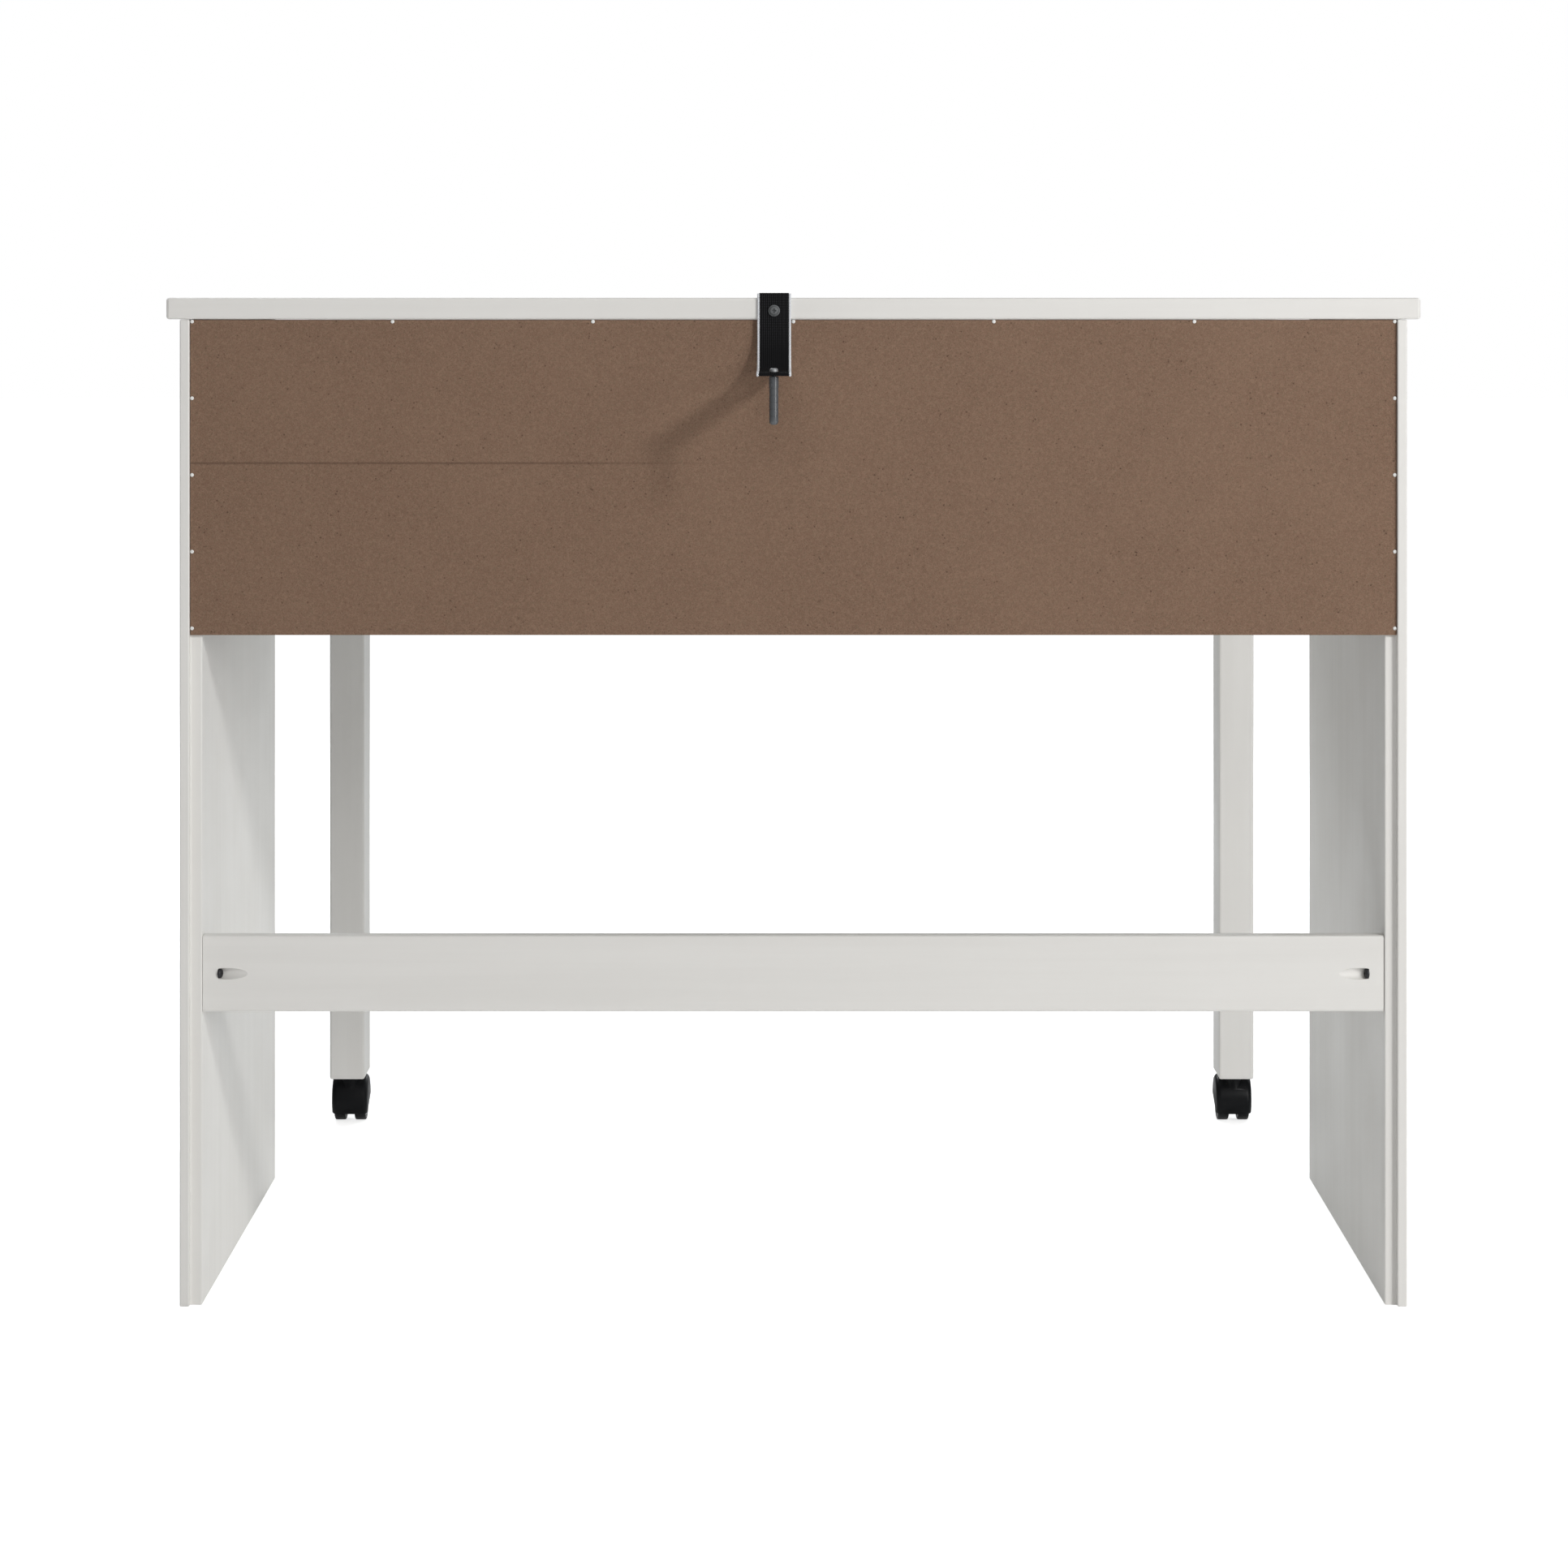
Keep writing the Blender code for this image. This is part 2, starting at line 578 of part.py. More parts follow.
def make_slides(table, middles, extension):
    """Spacers and the three telescoping members of each slide."""
    outer_depth = SLIDE_THICK - SLIDE_SHEET - 2 * SLIDE_PLAY
    middle_depth = outer_depth - SLIDE_SHEET
    middle_height = SLIDE_HEIGHT - 2 * (SLIDE_SHEET + SLIDE_BALL)
    inner_height = middle_height - 2 * (SLIDE_SHEET + SLIDE_BALL)
    inner_depth = middle_depth - SLIDE_SHEET
    outer = channel(outer_depth, SLIDE_HEIGHT, SLIDE_LIP, SLIDE_SHEET)
    middle = channel(middle_depth, middle_height, SLIDE_LIP, SLIDE_SHEET)
    inner = channel(inner_depth, inner_height, 0.0, SLIDE_SHEET)
    for name, sign in SIDES:
        outer_x = sign * (INNER_X - GAP)
        inner_x = sign * (INNER_X - GAP - SPACER_THICK)
        board("slide_spacer_" + name,
              (min(outer_x, inner_x), SLIDE_Y - SLIDE_LENGTH / 2, SLIDE_Z - SLIDE_HEIGHT / 2),
              (max(outer_x, inner_x), SLIDE_Y + SLIDE_LENGTH / 2, SLIDE_Z + SLIDE_HEIGHT / 2),
              WHITE_BOARD, table)
        make_slide_member("slide_outer_" + name, sign, outer, False, 0.0, SLIDE_LENGTH,
                          SLIDE_Y, table)
        make_slide_member("slide_middle_" + name, sign, middle, False,
                          SLIDE_SHEET + SLIDE_PLAY, SLIDE_MIDDLE_LENGTH,
                          SLIDE_Y + LEAF_TRAVEL / 2, middles[name])
        make_slide_member("slide_inner_" + name, sign, inner, True, SLIDE_THICK,
                          SLIDE_LENGTH, SLIDE_Y + LEAF_TRAVEL, extension)


# ---------------------------------------------------------------- pull-out leaf

def make_extension(parent):
    """The leaf, its rails and its two legs."""
    leaf_half = LEG_OUTER_X + TOP_OVERHANG
    board("extension_leaf",
          (-leaf_half, LEAF_REAR_Y, LEAF_UNDERSIDE),
          (leaf_half, BACK_Y + LEAF_FRONT, LEAF_TOP), WHITE_BOARD, parent)
    frame_bottom = FRAME_TOP - APRON_HEIGHT
    rail_inner_x = LEG_OUTER_X - BOARD
    rail_rear_y = LEAF_REAR_Y + RAIL_REAR_INSET
    for name, sign in SIDES:
        xs = sorted((sign * rail_inner_x, sign * LEG_OUTER_X))
        board("extension_side_rail_" + name,
              (xs[0], rail_rear_y, frame_bottom),
              (xs[1], LEG_REAR_Y - GAP, FRAME_TOP), WHITE_BOARD, parent)
        leg = round_edges(box("leg_" + name,
                              (sign * LEG_X - LEG_WIDTH / 2, LEG_REAR_Y, LEG_BOTTOM),
                              (sign * LEG_X + LEG_WIDTH / 2, BACK_Y + LEG_FRONT, FRAME_TOP)))
        holes(leg, "cut_socket_" + name, SOCKET_RADIUS + GAP,
              [(sign * LEG_X, LEG_Y, LEG_BOTTOM - GAP)], (0, 0, 1),
              STEM_LENGTH + SOCKET_HEADROOM)
        finish(leg, WHITE_BOARD, parent)
    board("extension_rear_rail",
          (-rail_inner_x + GAP, rail_rear_y, frame_bottom),
          (rail_inner_x - GAP, rail_rear_y + BOARD, FRAME_TOP), WHITE_BOARD, parent)
    apron_front = BACK_Y + LEG_FRONT - APRON_SETBACK
    apron_half = LEG_OUTER_X - LEG_WIDTH - GAP
    board("extension_front_apron",
          (-apron_half, apron_front - BOARD, frame_bottom),
          (apron_half, apron_front, FRAME_TOP), WHITE_BOARD, parent)


# ---------------------------------------------------------------- casters

def wheel_profile():
    """Half-section of a twin wheel: domed outer face, rounded tread, hub bore."""
    bore = AXLE_RADIUS + RUNNING_CLEARANCE
    dome_edge = WHEEL_RADIUS - 2 * WHEEL_CORNER
    points = []
    for index in range(DOME_STEPS + 1):
        share = index / DOME_STEPS
        height = WHEEL_WIDTH + WHEEL_DOME * math.sqrt(1.0 - 0.98 * share ** 2)
        points.append((dome_edge * share, height))
    rim = WHEEL_RADIUS - WHEEL_CORNER
    points += arc((rim, WHEEL_WIDTH - WHEEL_CORNER), WHEEL_CORNER, math.pi / 2, 0.0,
                  CORNER_STEPS)
    points += arc((rim, WHEEL_CORNER), WHEEL_CORNER, 0.0, -math.pi / 2, CORNER_STEPS)
    points += [(bore, 0.0), (bore, WHEEL_BORE_DEPTH), (0.0, WHEEL_BORE_DEPTH)]
    return points


def make_caster(name, sign, swivel, wheels, extension):
    """Socket, stem, hood, axle and twin wheels of one caster."""
    x = sign * LEG_X
    socket = [(SOCKET_RADIUS, STEM_TOP), (SOCKET_RADIUS, SOCKET_BOTTOM + SOCKET_FLANGE),
              (SOCKET_FLANGE_RADIUS, SOCKET_BOTTOM + SOCKET_FLANGE),
              (SOCKET_FLANGE_RADIUS, SOCKET_BOTTOM), (SOCKET_BORE, SOCKET_BOTTOM),
              (SOCKET_BORE, STEM_TOP)]
    finish(turned("caster_socket_" + name, socket, (x, LEG_Y, 0.0), (0, 0, 1), closed=True),
           GREY_PLASTIC, extension)

    pin_bottom = NECK_TOP - STEM_PIN_LENGTH
    shoulder = NECK_TOP + GAP
    stem = [(0.0, STEM_TOP - GAP), (STEM_RADIUS * 0.8, STEM_TOP - GAP),
            (STEM_RADIUS, STEM_TOP - STEM_CHAMFER), (STEM_RADIUS, shoulder),
            (STEM_PIN_RADIUS, shoulder), (STEM_PIN_RADIUS, pin_bottom), (0.0, pin_bottom)]
    finish(turned("caster_stem_" + name, stem, (x, LEG_Y, 0.0), (0, 0, 1)), ZINC, swivel)

    hood = cylinder("caster_hood_" + name, HOOD_RADIUS, 2 * HOOD_HALF_WIDTH,
                    (x, AXLE_Y, AXLE_Z), (1, 0, 0), FINE_STEPS)
    round_edges(hood, HOOD_SHOULDER)
    neck_height = NECK_TOP - AXLE_Z
    neck = cylinder("join_neck_" + name, NECK_RADIUS, neck_height,
                    (x, LEG_Y, AXLE_Z + neck_height / 2), (0, 0, 1), ROUND_STEPS, CUTTERS)
    cut(hood, neck, "UNION")
    well_radius = WHEEL_RADIUS + HOOD_CLEARANCE
    for side in (-1, 1):
        well_x = x + side * (WEB_HALF + WELL_END) / 2
        well = cylinder(f"cut_well_{name}_{side}", well_radius, WELL_END - WEB_HALF,
                        (well_x, AXLE_Y, AXLE_Z), (1, 0, 0), FINE_STEPS, CUTTERS)
        cut(hood, round_edges(well, HOOD_WELL_CORNER))
    # The hood is open below a line from low behind the swivel to just above the
    # axle in front of it.
    rear_edge = Vector((0.0, -math.cos(HOOD_REAR_ANGLE), -math.sin(HOOD_REAR_ANGLE)))
    front_edge = Vector((0.0, math.cos(HOOD_FRONT_ANGLE), math.sin(HOOD_FRONT_ANGLE)))
    line = (front_edge - rear_edge).normalized()
    below = Vector((0.0, line.z, -line.y))
    size = 4 * HOOD_RADIUS
    opening = box("cut_opening_" + name, (-size / 2,) * 3, (size / 2,) * 3, CUTTERS)
    opening.rotation_euler = (math.atan2(line.z, line.y), 0.0, 0.0)
    opening.location = (Vector((x, AXLE_Y, AXLE_Z)) + rear_edge * HOOD_RADIUS
                        + below * size / 2)
    cut(hood, opening)
    holes(hood, "cut_axle_" + name, AXLE_RADIUS + SCREW_CLEARANCE,
          [(x - WHEEL_GAP, AXLE_Y, AXLE_Z)], (1, 0, 0), 2 * WHEEL_GAP)
    holes(hood, "cut_stem_" + name, STEM_PIN_RADIUS + SCREW_CLEARANCE,
          [(x, LEG_Y, pin_bottom - GAP)], (0, 0, 1), STEM_LENGTH)
    finish(hood, BLACK_PLASTIC, swivel)

    axle_length = 2 * (WHEEL_GAP / 2 + WHEEL_BORE_DEPTH - GAP)
    axle = cylinder("caster_axle_" + name, AXLE_RADIUS, axle_length,
                    (x, AXLE_Y, AXLE_Z), (1, 0, 0), ROUND_STEPS)
    finish(axle, ZINC, swivel)

    for side, where in ((sign, "outer"), (-sign, "inner")):
        wheel = turned(f"wheel_{name}_{where}", wheel_profile(),
                       (x + side * WHEEL_GAP / 2, AXLE_Y, AXLE_Z), (side, 0, 0), FINE_STEPS)
        finish(wheel, BLACK_PLASTIC, wheels[where])


# ---------------------------------------------------------------- wall strap

def strap_point(distance):
    """Place (y, z) and direction of the strap's middle line, from its top end."""
    straight = STRAP_RISE + STRAP_BEND_DROP
    turn = math.pi / 2 - STRAP_SLOPE
    bend = STRAP_BEND_RADIUS * turn
    start_y = BACK_Y - GAP - STRAP_THICK / 2
    start_z = TABLE_HEIGHT + STRAP_RISE
    centre_y = start_y - STRAP_BEND_RADIUS
    bend_z = start_z - straight
    if distance <= straight:
        return Vector((start_y, start_z - distance)), Vector((0.0, -1.0))
    angle = min(distance - straight, bend) / STRAP_BEND_RADIUS
    place = Vector((centre_y + STRAP_BEND_RADIUS * math.cos(angle),
                    bend_z - STRAP_BEND_RADIUS * math.sin(angle)))
    way = Vector((-math.sin(angle), -math.cos(angle)))
    return place + way * max(0.0, distance - straight - bend), way


def strap_lengths():
    """Distances along the strap to where it bends, to its hinge and to its end."""
    bend_start = STRAP_RISE + STRAP_BEND_DROP
    bend_end = bend_start + STRAP_BEND_RADIUS * (math.pi / 2 - STRAP_SLOPE)
    place, way = strap_point(bend_end)
    run = (place.x - (BACK_Y - STRAP_REACH)) / -way.x
    return bend_start, bend_end, (bend_start + bend_end) / 2, bend_end + run


def strap_side(start, end, offset):
    """Points beside the strap's middle line; a positive offset is its underside."""
    bend_start, bend_end, _, _ = strap_lengths()
    low, high = min(start, end), max(start, end)
    distances = [low]
    for index in range(STRAP_BEND_STEPS + 1):
        distance = bend_start + (bend_end - bend_start) * index / STRAP_BEND_STEPS
        if low + GAP < distance < high - GAP:
            distances.append(distance)
    distances.append(high)
    points = []
    for distance in distances:
        place, way = strap_point(distance)
        points.append((place.x - way.y * offset, place.y + way.x * offset))
    return points if start < end else points[::-1]


def make_strap_tab(parent):
    """The strap's upper part, held on the top's back edge by its screw."""
    _, _, hinge, _ = strap_lengths()
    half = STRAP_THICK / 2
    tab_end = hinge - half - GAP
    outline = strap_side(0.0, tab_end, half) + strap_side(tab_end, 0.0, -half)
    tab = outline_solid("strap_tab", outline, STRAP_WIDTH, (STRAP_X, 0.0, 0.0), "YZ")
    screw_z = TABLE_HEIGHT - STRAP_SCREW_DROP
    seat = Vector((STRAP_X, BACK_Y - STRAP_THICK - 2 * GAP, screw_z))
    holes(tab, "cut_strap_screw", STRAP_SCREW_RADIUS + SCREW_CLEARANCE,
          [seat], (0, 1, 0), STRAP_THICK + 2 * GAP, NAIL_STEPS)
    finish(tab, WEBBING, parent)
    screw = turned("strap_screw",
                   screw_profile(STRAP_SCREW_HEAD, STRAP_SCREW_HEAD_HEIGHT,
                                 STRAP_SCREW_RADIUS, STRAP_SCREW_LENGTH),
                   seat, (0, -1, 0), SCREW_STEPS)
    finish(screw, ZINC, parent)


def make_strap_tail(parent):
    """The strap's free part with its doubled end, wall plug and plug screw."""
    _, _, hinge, end = strap_lengths()
    half = STRAP_THICK / 2
    place, way = strap_point(hinge)
    along = math.atan2(way.y, way.x)
    nose = arc(place, half, along + math.pi / 2, along + 3 * math.pi / 2, 8)
    hem_start = end - STRAP_HEM
    outline = (strap_side(hinge, end, -half)
               + strap_side(end, hem_start, 3 * half)
               + strap_side(hem_start, hinge, half)
               + nose[1:-1])
    tail = outline_solid("strap_tail", outline, STRAP_WIDTH, (STRAP_X, 0.0, 0.0), "YZ")
    place, way = strap_point(end - PLUG_INSET)
    middle = Vector((STRAP_X, place.x, place.y))
    down = Vector((0.0, -way.y, way.x))
    seat = middle - down * (half + GAP)
    holes(tail, "cut_plug_screw", PLUG_SCREW_RADIUS + SCREW_CLEARANCE,
          [seat], down, 4 * half + 2 * GAP, NAIL_STEPS)
    finish(tail, WEBBING, parent)

    bore_depth = PLUG_SCREW_LENGTH - 2 * STRAP_THICK
    plug_profile = [(0.0, -bore_depth), (PLUG_BORE, -bore_depth), (PLUG_BORE, 0.0),
                    (PLUG_RADIUS, 0.0)]
    plug_profile += arc((0.0, PLUG_RADIUS - PLUG_LENGTH), PLUG_RADIUS, 0.0, -math.pi / 2,
                        BEVEL_STEPS)
    plug = turned("wall_plug", plug_profile, middle + down * (3 * half + GAP), -down,
                  SCREW_STEPS)
    finish(plug, GREY_PLASTIC, parent)
    screw = turned("plug_screw",
                   screw_profile(PLUG_SCREW_HEAD, PLUG_SCREW_HEAD_HEIGHT,
                                 PLUG_SCREW_RADIUS, PLUG_SCREW_LENGTH),
                   seat, -down, SCREW_STEPS)
    finish(screw, ZINC, parent)


# ---------------------------------------------------------------- the model

clear_scene()
PARTS = new_collection("sewing_table")
CUTTERS = new_collection("cutters")

WHITE_BOARD = make_material("white_board", (0.80, 0.79, 0.76), 0.45)
HARDBOARD = make_material("hardboard", (0.20, 0.13, 0.09), 0.75)
WHITE_METAL = make_material("painted_nail", (0.82, 0.82, 0.80), 0.40)
DARK_STEEL = make_material("black_steel", (0.05, 0.05, 0.05), 0.35, 1.0)
ZINC = make_material("zinc_steel", (0.62, 0.62, 0.63), 0.30, 1.0)
GREY_PLASTIC = make_material("grey_nylon", (0.25, 0.26, 0.27), 0.45)
BLACK_PLASTIC = make_material("black_nylon", (0.02, 0.02, 0.02), 0.35)
WEBBING = make_material("black_webbing", (0.012, 0.012, 0.014), 0.85)

table = make_empty("table_body", (0.0, BACK_Y + SIDE_DEPTH / 2, 0.0))
extension = make_empty("extension_body", (0.0, LEG_Y, SLIDE_Z), table)

make_top(table)
for side_name, side_sign in SIDES:
    make_side(side_name, side_sign, table)
make_back(table)
make_nails(table)
make_rear_rail(table)
make_stretcher(table)
make_pocket_screws(table)
make_cams(table)

slide_middles = {}
for side_name, side_sign in SIDES:
    slide_middles[side_name] = make_empty("slide_middle_body_" + side_name,
                                          (side_sign * LEG_OUTER_X, SLIDE_Y, SLIDE_Z), table)
make_slides(table, slide_middles, extension)
make_extension(extension)

for side_name, side_sign in SIDES:
    caster = make_empty("caster_body_" + side_name,
                        (side_sign * LEG_X, LEG_Y, SOCKET_BOTTOM), extension)
    wheel_bodies = {}
    for wheel_name in ("outer", "inner"):
        wheel_bodies[wheel_name] = make_empty(f"wheel_body_{side_name}_{wheel_name}",
                                              (side_sign * LEG_X, AXLE_Y, AXLE_Z), caster)
    make_caster(side_name, side_sign, caster, wheel_bodies, extension)

hinge_place, _ = strap_point(strap_lengths()[2])
strap_tail_body = make_empty("strap_tail_body", (STRAP_X, hinge_place.x, hinge_place.y), table)
make_strap_tab(table)
make_strap_tail(strap_tail_body)
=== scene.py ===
import math

import bpy
from mathutils import Matrix, Vector


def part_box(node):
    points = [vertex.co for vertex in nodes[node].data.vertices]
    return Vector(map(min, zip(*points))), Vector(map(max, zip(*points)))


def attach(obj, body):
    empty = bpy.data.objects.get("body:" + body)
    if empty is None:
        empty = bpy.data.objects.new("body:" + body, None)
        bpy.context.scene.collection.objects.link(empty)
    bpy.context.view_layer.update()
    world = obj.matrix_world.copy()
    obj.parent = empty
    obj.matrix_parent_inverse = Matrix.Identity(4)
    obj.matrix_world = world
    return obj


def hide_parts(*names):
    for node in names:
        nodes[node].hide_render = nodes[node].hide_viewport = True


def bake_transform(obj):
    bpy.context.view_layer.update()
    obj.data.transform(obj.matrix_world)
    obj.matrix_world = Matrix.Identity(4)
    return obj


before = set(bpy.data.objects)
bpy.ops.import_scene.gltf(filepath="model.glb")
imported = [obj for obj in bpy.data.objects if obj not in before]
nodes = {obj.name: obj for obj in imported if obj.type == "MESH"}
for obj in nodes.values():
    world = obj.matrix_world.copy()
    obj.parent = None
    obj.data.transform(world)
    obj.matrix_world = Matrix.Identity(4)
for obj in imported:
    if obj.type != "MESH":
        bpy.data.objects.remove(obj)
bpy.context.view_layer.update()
print("frame loaded:", len(nodes), "nodes")

sides = (("left", -1), ("right", 1))


# Small helpers for working by hand

def clearSelection():
    bpy.ops.object.select_all(action="DESELECT")


def justSelect(piece):
    clearSelection()
    piece.select_set(True)
    bpy.context.view_layer.objects.active = piece


def editMode():
    bpy.ops.object.mode_set(mode="EDIT")


def objectMode():
    bpy.ops.object.mode_set(mode="OBJECT")


def applyModifiers(piece):
    justSelect(piece)
    for modifier in list(piece.modifiers):
        bpy.ops.object.modifier_apply(modifier=modifier.name)


def settle(piece, smoothAngle=35):  # puts the place into the mesh and tidies the surface
    justSelect(piece)
    bpy.ops.object.transform_apply(location=True, rotation=True, scale=True)
    editMode()
    bpy.ops.mesh.select_all(action="SELECT")
    bpy.ops.mesh.remove_doubles(threshold=0.000002)
    bpy.ops.mesh.normals_make_consistent(inside=False)
    objectMode()
    bpy.ops.object.shade_smooth_by_angle(angle=math.radians(smoothAngle))
    return piece


def aim(piece, place, direction):  # turns the piece's own +Z to a direction
    piece.rotation_mode = "QUATERNION"
    piece.rotation_quaternion = Vector(direction).to_track_quat("Z", "Y")
    piece.location = place


def turned(name, rings, steps):  # rings are (radius, height) from one end to the other
    clearSelection()
    bpy.ops.mesh.primitive_circle_add(vertices=steps, radius=rings[0][0], fill_type="NGON",
                                      location=(0, 0, 0))
    piece = bpy.context.object
    piece.name = name
    editMode()
    bpy.ops.mesh.select_all(action="SELECT")
    bpy.ops.transform.translate(value=(0, 0, rings[0][1]))
    for (radiusBefore, heightBefore), (radius, height) in zip(rings, rings[1:]):
        bpy.ops.mesh.extrude_region_move(
            TRANSFORM_OT_translate={"value": (0, 0, height - heightBefore)})
        share = radius / radiusBefore
        bpy.ops.transform.resize(value=(share, share, 1))
    objectMode()
    return piece


def roundProfile(centre, radius, start, end, steps):  # part of a circle as (radius, height)
    points = []
    for step in range(steps + 1):
        angle = math.radians(start + (end - start) * step / steps)
        points.append((centre[0] + radius * math.cos(angle),
                       centre[1] + radius * math.sin(angle)))
    return points


def block(name, low, high):  # a box from corner to corner
    clearSelection()
    low, high = Vector(low), Vector(high)
    bpy.ops.mesh.primitive_cube_add(size=1, location=(low + high) / 2)
    piece = bpy.context.object
    piece.name = name
    piece.scale = high - low
    bpy.ops.object.transform_apply(location=False, rotation=False, scale=True)
    return piece


def rod(name, radius, length, place, direction, steps=64):
    clearSelection()
    bpy.ops.mesh.primitive_cylinder_add(vertices=steps, radius=radius, depth=length)
    piece = bpy.context.object
    piece.name = name
    aim(piece, place, direction)
    return piece


def carve(piece, cutter, operation="DIFFERENCE"):  # cuts or joins, then drops the cutter
    justSelect(piece)
    cutting = piece.modifiers.new("cut", "BOOLEAN")
    cutting.operation = operation
    cutting.solver = "EXACT"
    cutting.object = cutter
    bpy.ops.object.modifier_apply(modifier=cutting.name)
    bpy.data.objects.remove(cutter, do_unlink=True)


def soften(piece, width, segments=3, angle=30):
    bevel = piece.modifiers.new("softEdges", "BEVEL")
    bevel.width = width
    bevel.segments = segments
    bevel.limit_method = "ANGLE"
    bevel.angle_limit = math.radians(angle)
    bevel.harden_normals = False
    applyModifiers(piece)


def copyPiece(piece, name):
    other = piece.copy()
    other.data = piece.data.copy()
    other.name = name
    bpy.context.scene.collection.objects.link(other)
    return other


def mount(piece, body, material, slotName, *replaced):
    piece.data.materials.clear()
    piece.data.materials.append(material)
    if replaced:
        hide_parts(*replaced)
    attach(piece, body)


# Node helpers

def nodeGroup(name, inputs, outputs):
    group = bpy.data.node_groups.new(name, "ShaderNodeTree")
    for socketName, socketType, value in inputs:
        socket = group.interface.new_socket(socketName, in_out="INPUT", socket_type=socketType)
        if value is not None:
            socket.default_value = value
    for socketName, socketType in outputs:
        group.interface.new_socket(socketName, in_out="OUTPUT", socket_type=socketType)
    return group, group.nodes.new("NodeGroupInput"), group.nodes.new("NodeGroupOutput")


def put(tree, kind, values=None, **settings):  # adds a node and sets what it needs
    node = tree.nodes.new("ShaderNode" + kind)
    for key, value in settings.items():
        setattr(node, key, value)
    for key, value in (values or {}).items():
        node.inputs[key].default_value = value
    return node


def math2(tree, operation, first, second=None, clamp=False):
    node = put(tree, "Math", operation=operation, use_clamp=clamp)
    for index, value in enumerate((first, second)):
        if value is None:
            continue
        if isinstance(value, (int, float)):
            node.inputs[index].default_value = value
        else:
            tree.links.new(value, node.inputs[index])
    return node.outputs[0]


def remap(tree, value, low, high, newLow=0.0, newHigh=1.0, smooth=True):
    node = put(tree, "MapRange", {"From Min": low, "From Max": high,
                                  "To Min": newLow, "To Max": newHigh})
    node.interpolation_type = "SMOOTHSTEP" if smooth else "LINEAR"
    tree.links.new(value, node.inputs["Value"])
    return node.outputs["Result"]


def mixColour(tree, share, first, second, blend="MIX"):
    node = put(tree, "Mix", data_type="RGBA", blend_type=blend)
    for socket, value in ((node.inputs[0], share), (node.inputs[6], first),
                          (node.inputs[7], second)):
        if isinstance(value, (tuple, list)):
            socket.default_value = (*value, 1.0)
        elif isinstance(value, (int, float)):
            socket.default_value = value
        else:
            tree.links.new(value, socket)
    return node.outputs[2]


def noiseOf(tree, vector, scale, detail=3.0, roughness=0.5):
    node = put(tree, "TexNoise", {"Scale": scale, "Detail": detail, "Roughness": roughness})
    tree.links.new(vector, node.inputs["Vector"])
    return node.outputs["Fac"]


def stretched(tree, vector, scale, turn=(0, 0, 0)):
    node = put(tree, "Mapping", {"Scale": scale, "Rotation": turn})
    tree.links.new(vector, node.inputs["Vector"])
    return node.outputs["Vector"]


def principled(name, colour, roughness, **extra):
    material = bpy.data.materials.new(name)
    material.use_nodes = True
    tree = material.node_tree
    shader = tree.nodes["Principled BSDF"]
    shader.inputs["Base Color"].default_value = (*colour, 1)
    shader.inputs["Roughness"].default_value = roughness
    for key, value in extra.items():
        shader.inputs[key].default_value = value
    return material, tree, shader


def useGroup(tree, group, values=None):
    node = tree.nodes.new("ShaderNodeGroup")
    node.node_tree = group
    for key, value in (values or {}).items():
        node.inputs[key].default_value = value
    return node


def objectCoords(tree):
    return put(tree, "TexCoord").outputs["Object"]


def bumpInto(tree, shader, height, strength, distance):
    bump = put(tree, "Bump", {"Strength": strength, "Distance": distance})
    tree.links.new(height, bump.inputs["Height"])
    tree.links.new(bump.outputs["Normal"], shader.inputs["Normal"])


# Camera, floor and light

shot = {
    "place": (-0.007, -3.7455, 0.748),
    "lens": 105.3,
    "sensor": 36.0,
    "shiftDown": -599 / 1932,  # the horizon runs along the table's top
    "farthest": 200,
}
bpy.ops.object.camera_add(location=shot["place"], rotation=(math.pi / 2, 0, 0))
camera = bpy.context.object
camera.data.sensor_width = shot["sensor"]
camera.data.lens = shot["lens"]
camera.data.shift_y = shot["shiftDown"]
camera.data.clip_end = shot["farthest"]
bpy.context.scene.camera = camera

studio = {
    "surround": 0.09,      # light from all round, on the object
    "backdrop": 1.0,       # what the camera sees behind it
    "floorSize": 60,
    "floorColour": (0.86, 0.86, 0.86),
    "floorRoughness": 0.9,
    "floorShine": 0.1,
    "floorGlow": 0.70,     # makes the floor as white as the backdrop to the camera
    "farGlow": 1.0,        # the same away from the lights
    "glowFade": (1.2, 3.2),  # distances from the middle between the two
    "floorBounce": 0.13,   # what of that glow reaches the table
    "target": (0.0, -0.2, 0.45),
    "softboxes": {  # name: (place, size, power, colour)
        "keyLight": ((2.30, -3.40, 2.25), 0.45, 57, (1.0, 0.995, 0.985)),
        "lowKeyLight": ((2.85, -3.10, 1.15), 0.9, 35, (1.0, 0.995, 0.985)),
        "frontLight": ((0.0, -4.2, 2.2), 2.0, 21, (1.0, 0.995, 0.985)),
        "rearLight": ((-1.2, 3.2, 2.6), 1.2, 50, (0.95, 0.985, 1.0)),
        "rearRightLight": ((1.6, 3.2, 1.6), 1.5, 42, (0.93, 0.975, 1.0)),
        "topLight": ((0.0, -0.4, 3.4), 2.0, 20, (1.0, 1.0, 1.0)),
    },
}


def softbox(name, place, size, power, colour):
    bpy.ops.object.light_add(type="AREA", location=place)
    lamp = bpy.context.object
    lamp.name = name
    lamp.rotation_mode = "QUATERNION"
    away = Vector(place) - Vector(studio["target"])
    lamp.rotation_quaternion = away.to_track_quat("Z", "Y")
    lamp.data.shape = "SQUARE"
    lamp.data.size = size
    lamp.data.energy = power
    lamp.data.color = colour
    lamp.visible_camera = False


for lampName, lampValues in studio["softboxes"].items():
    softbox(lampName, *lampValues)

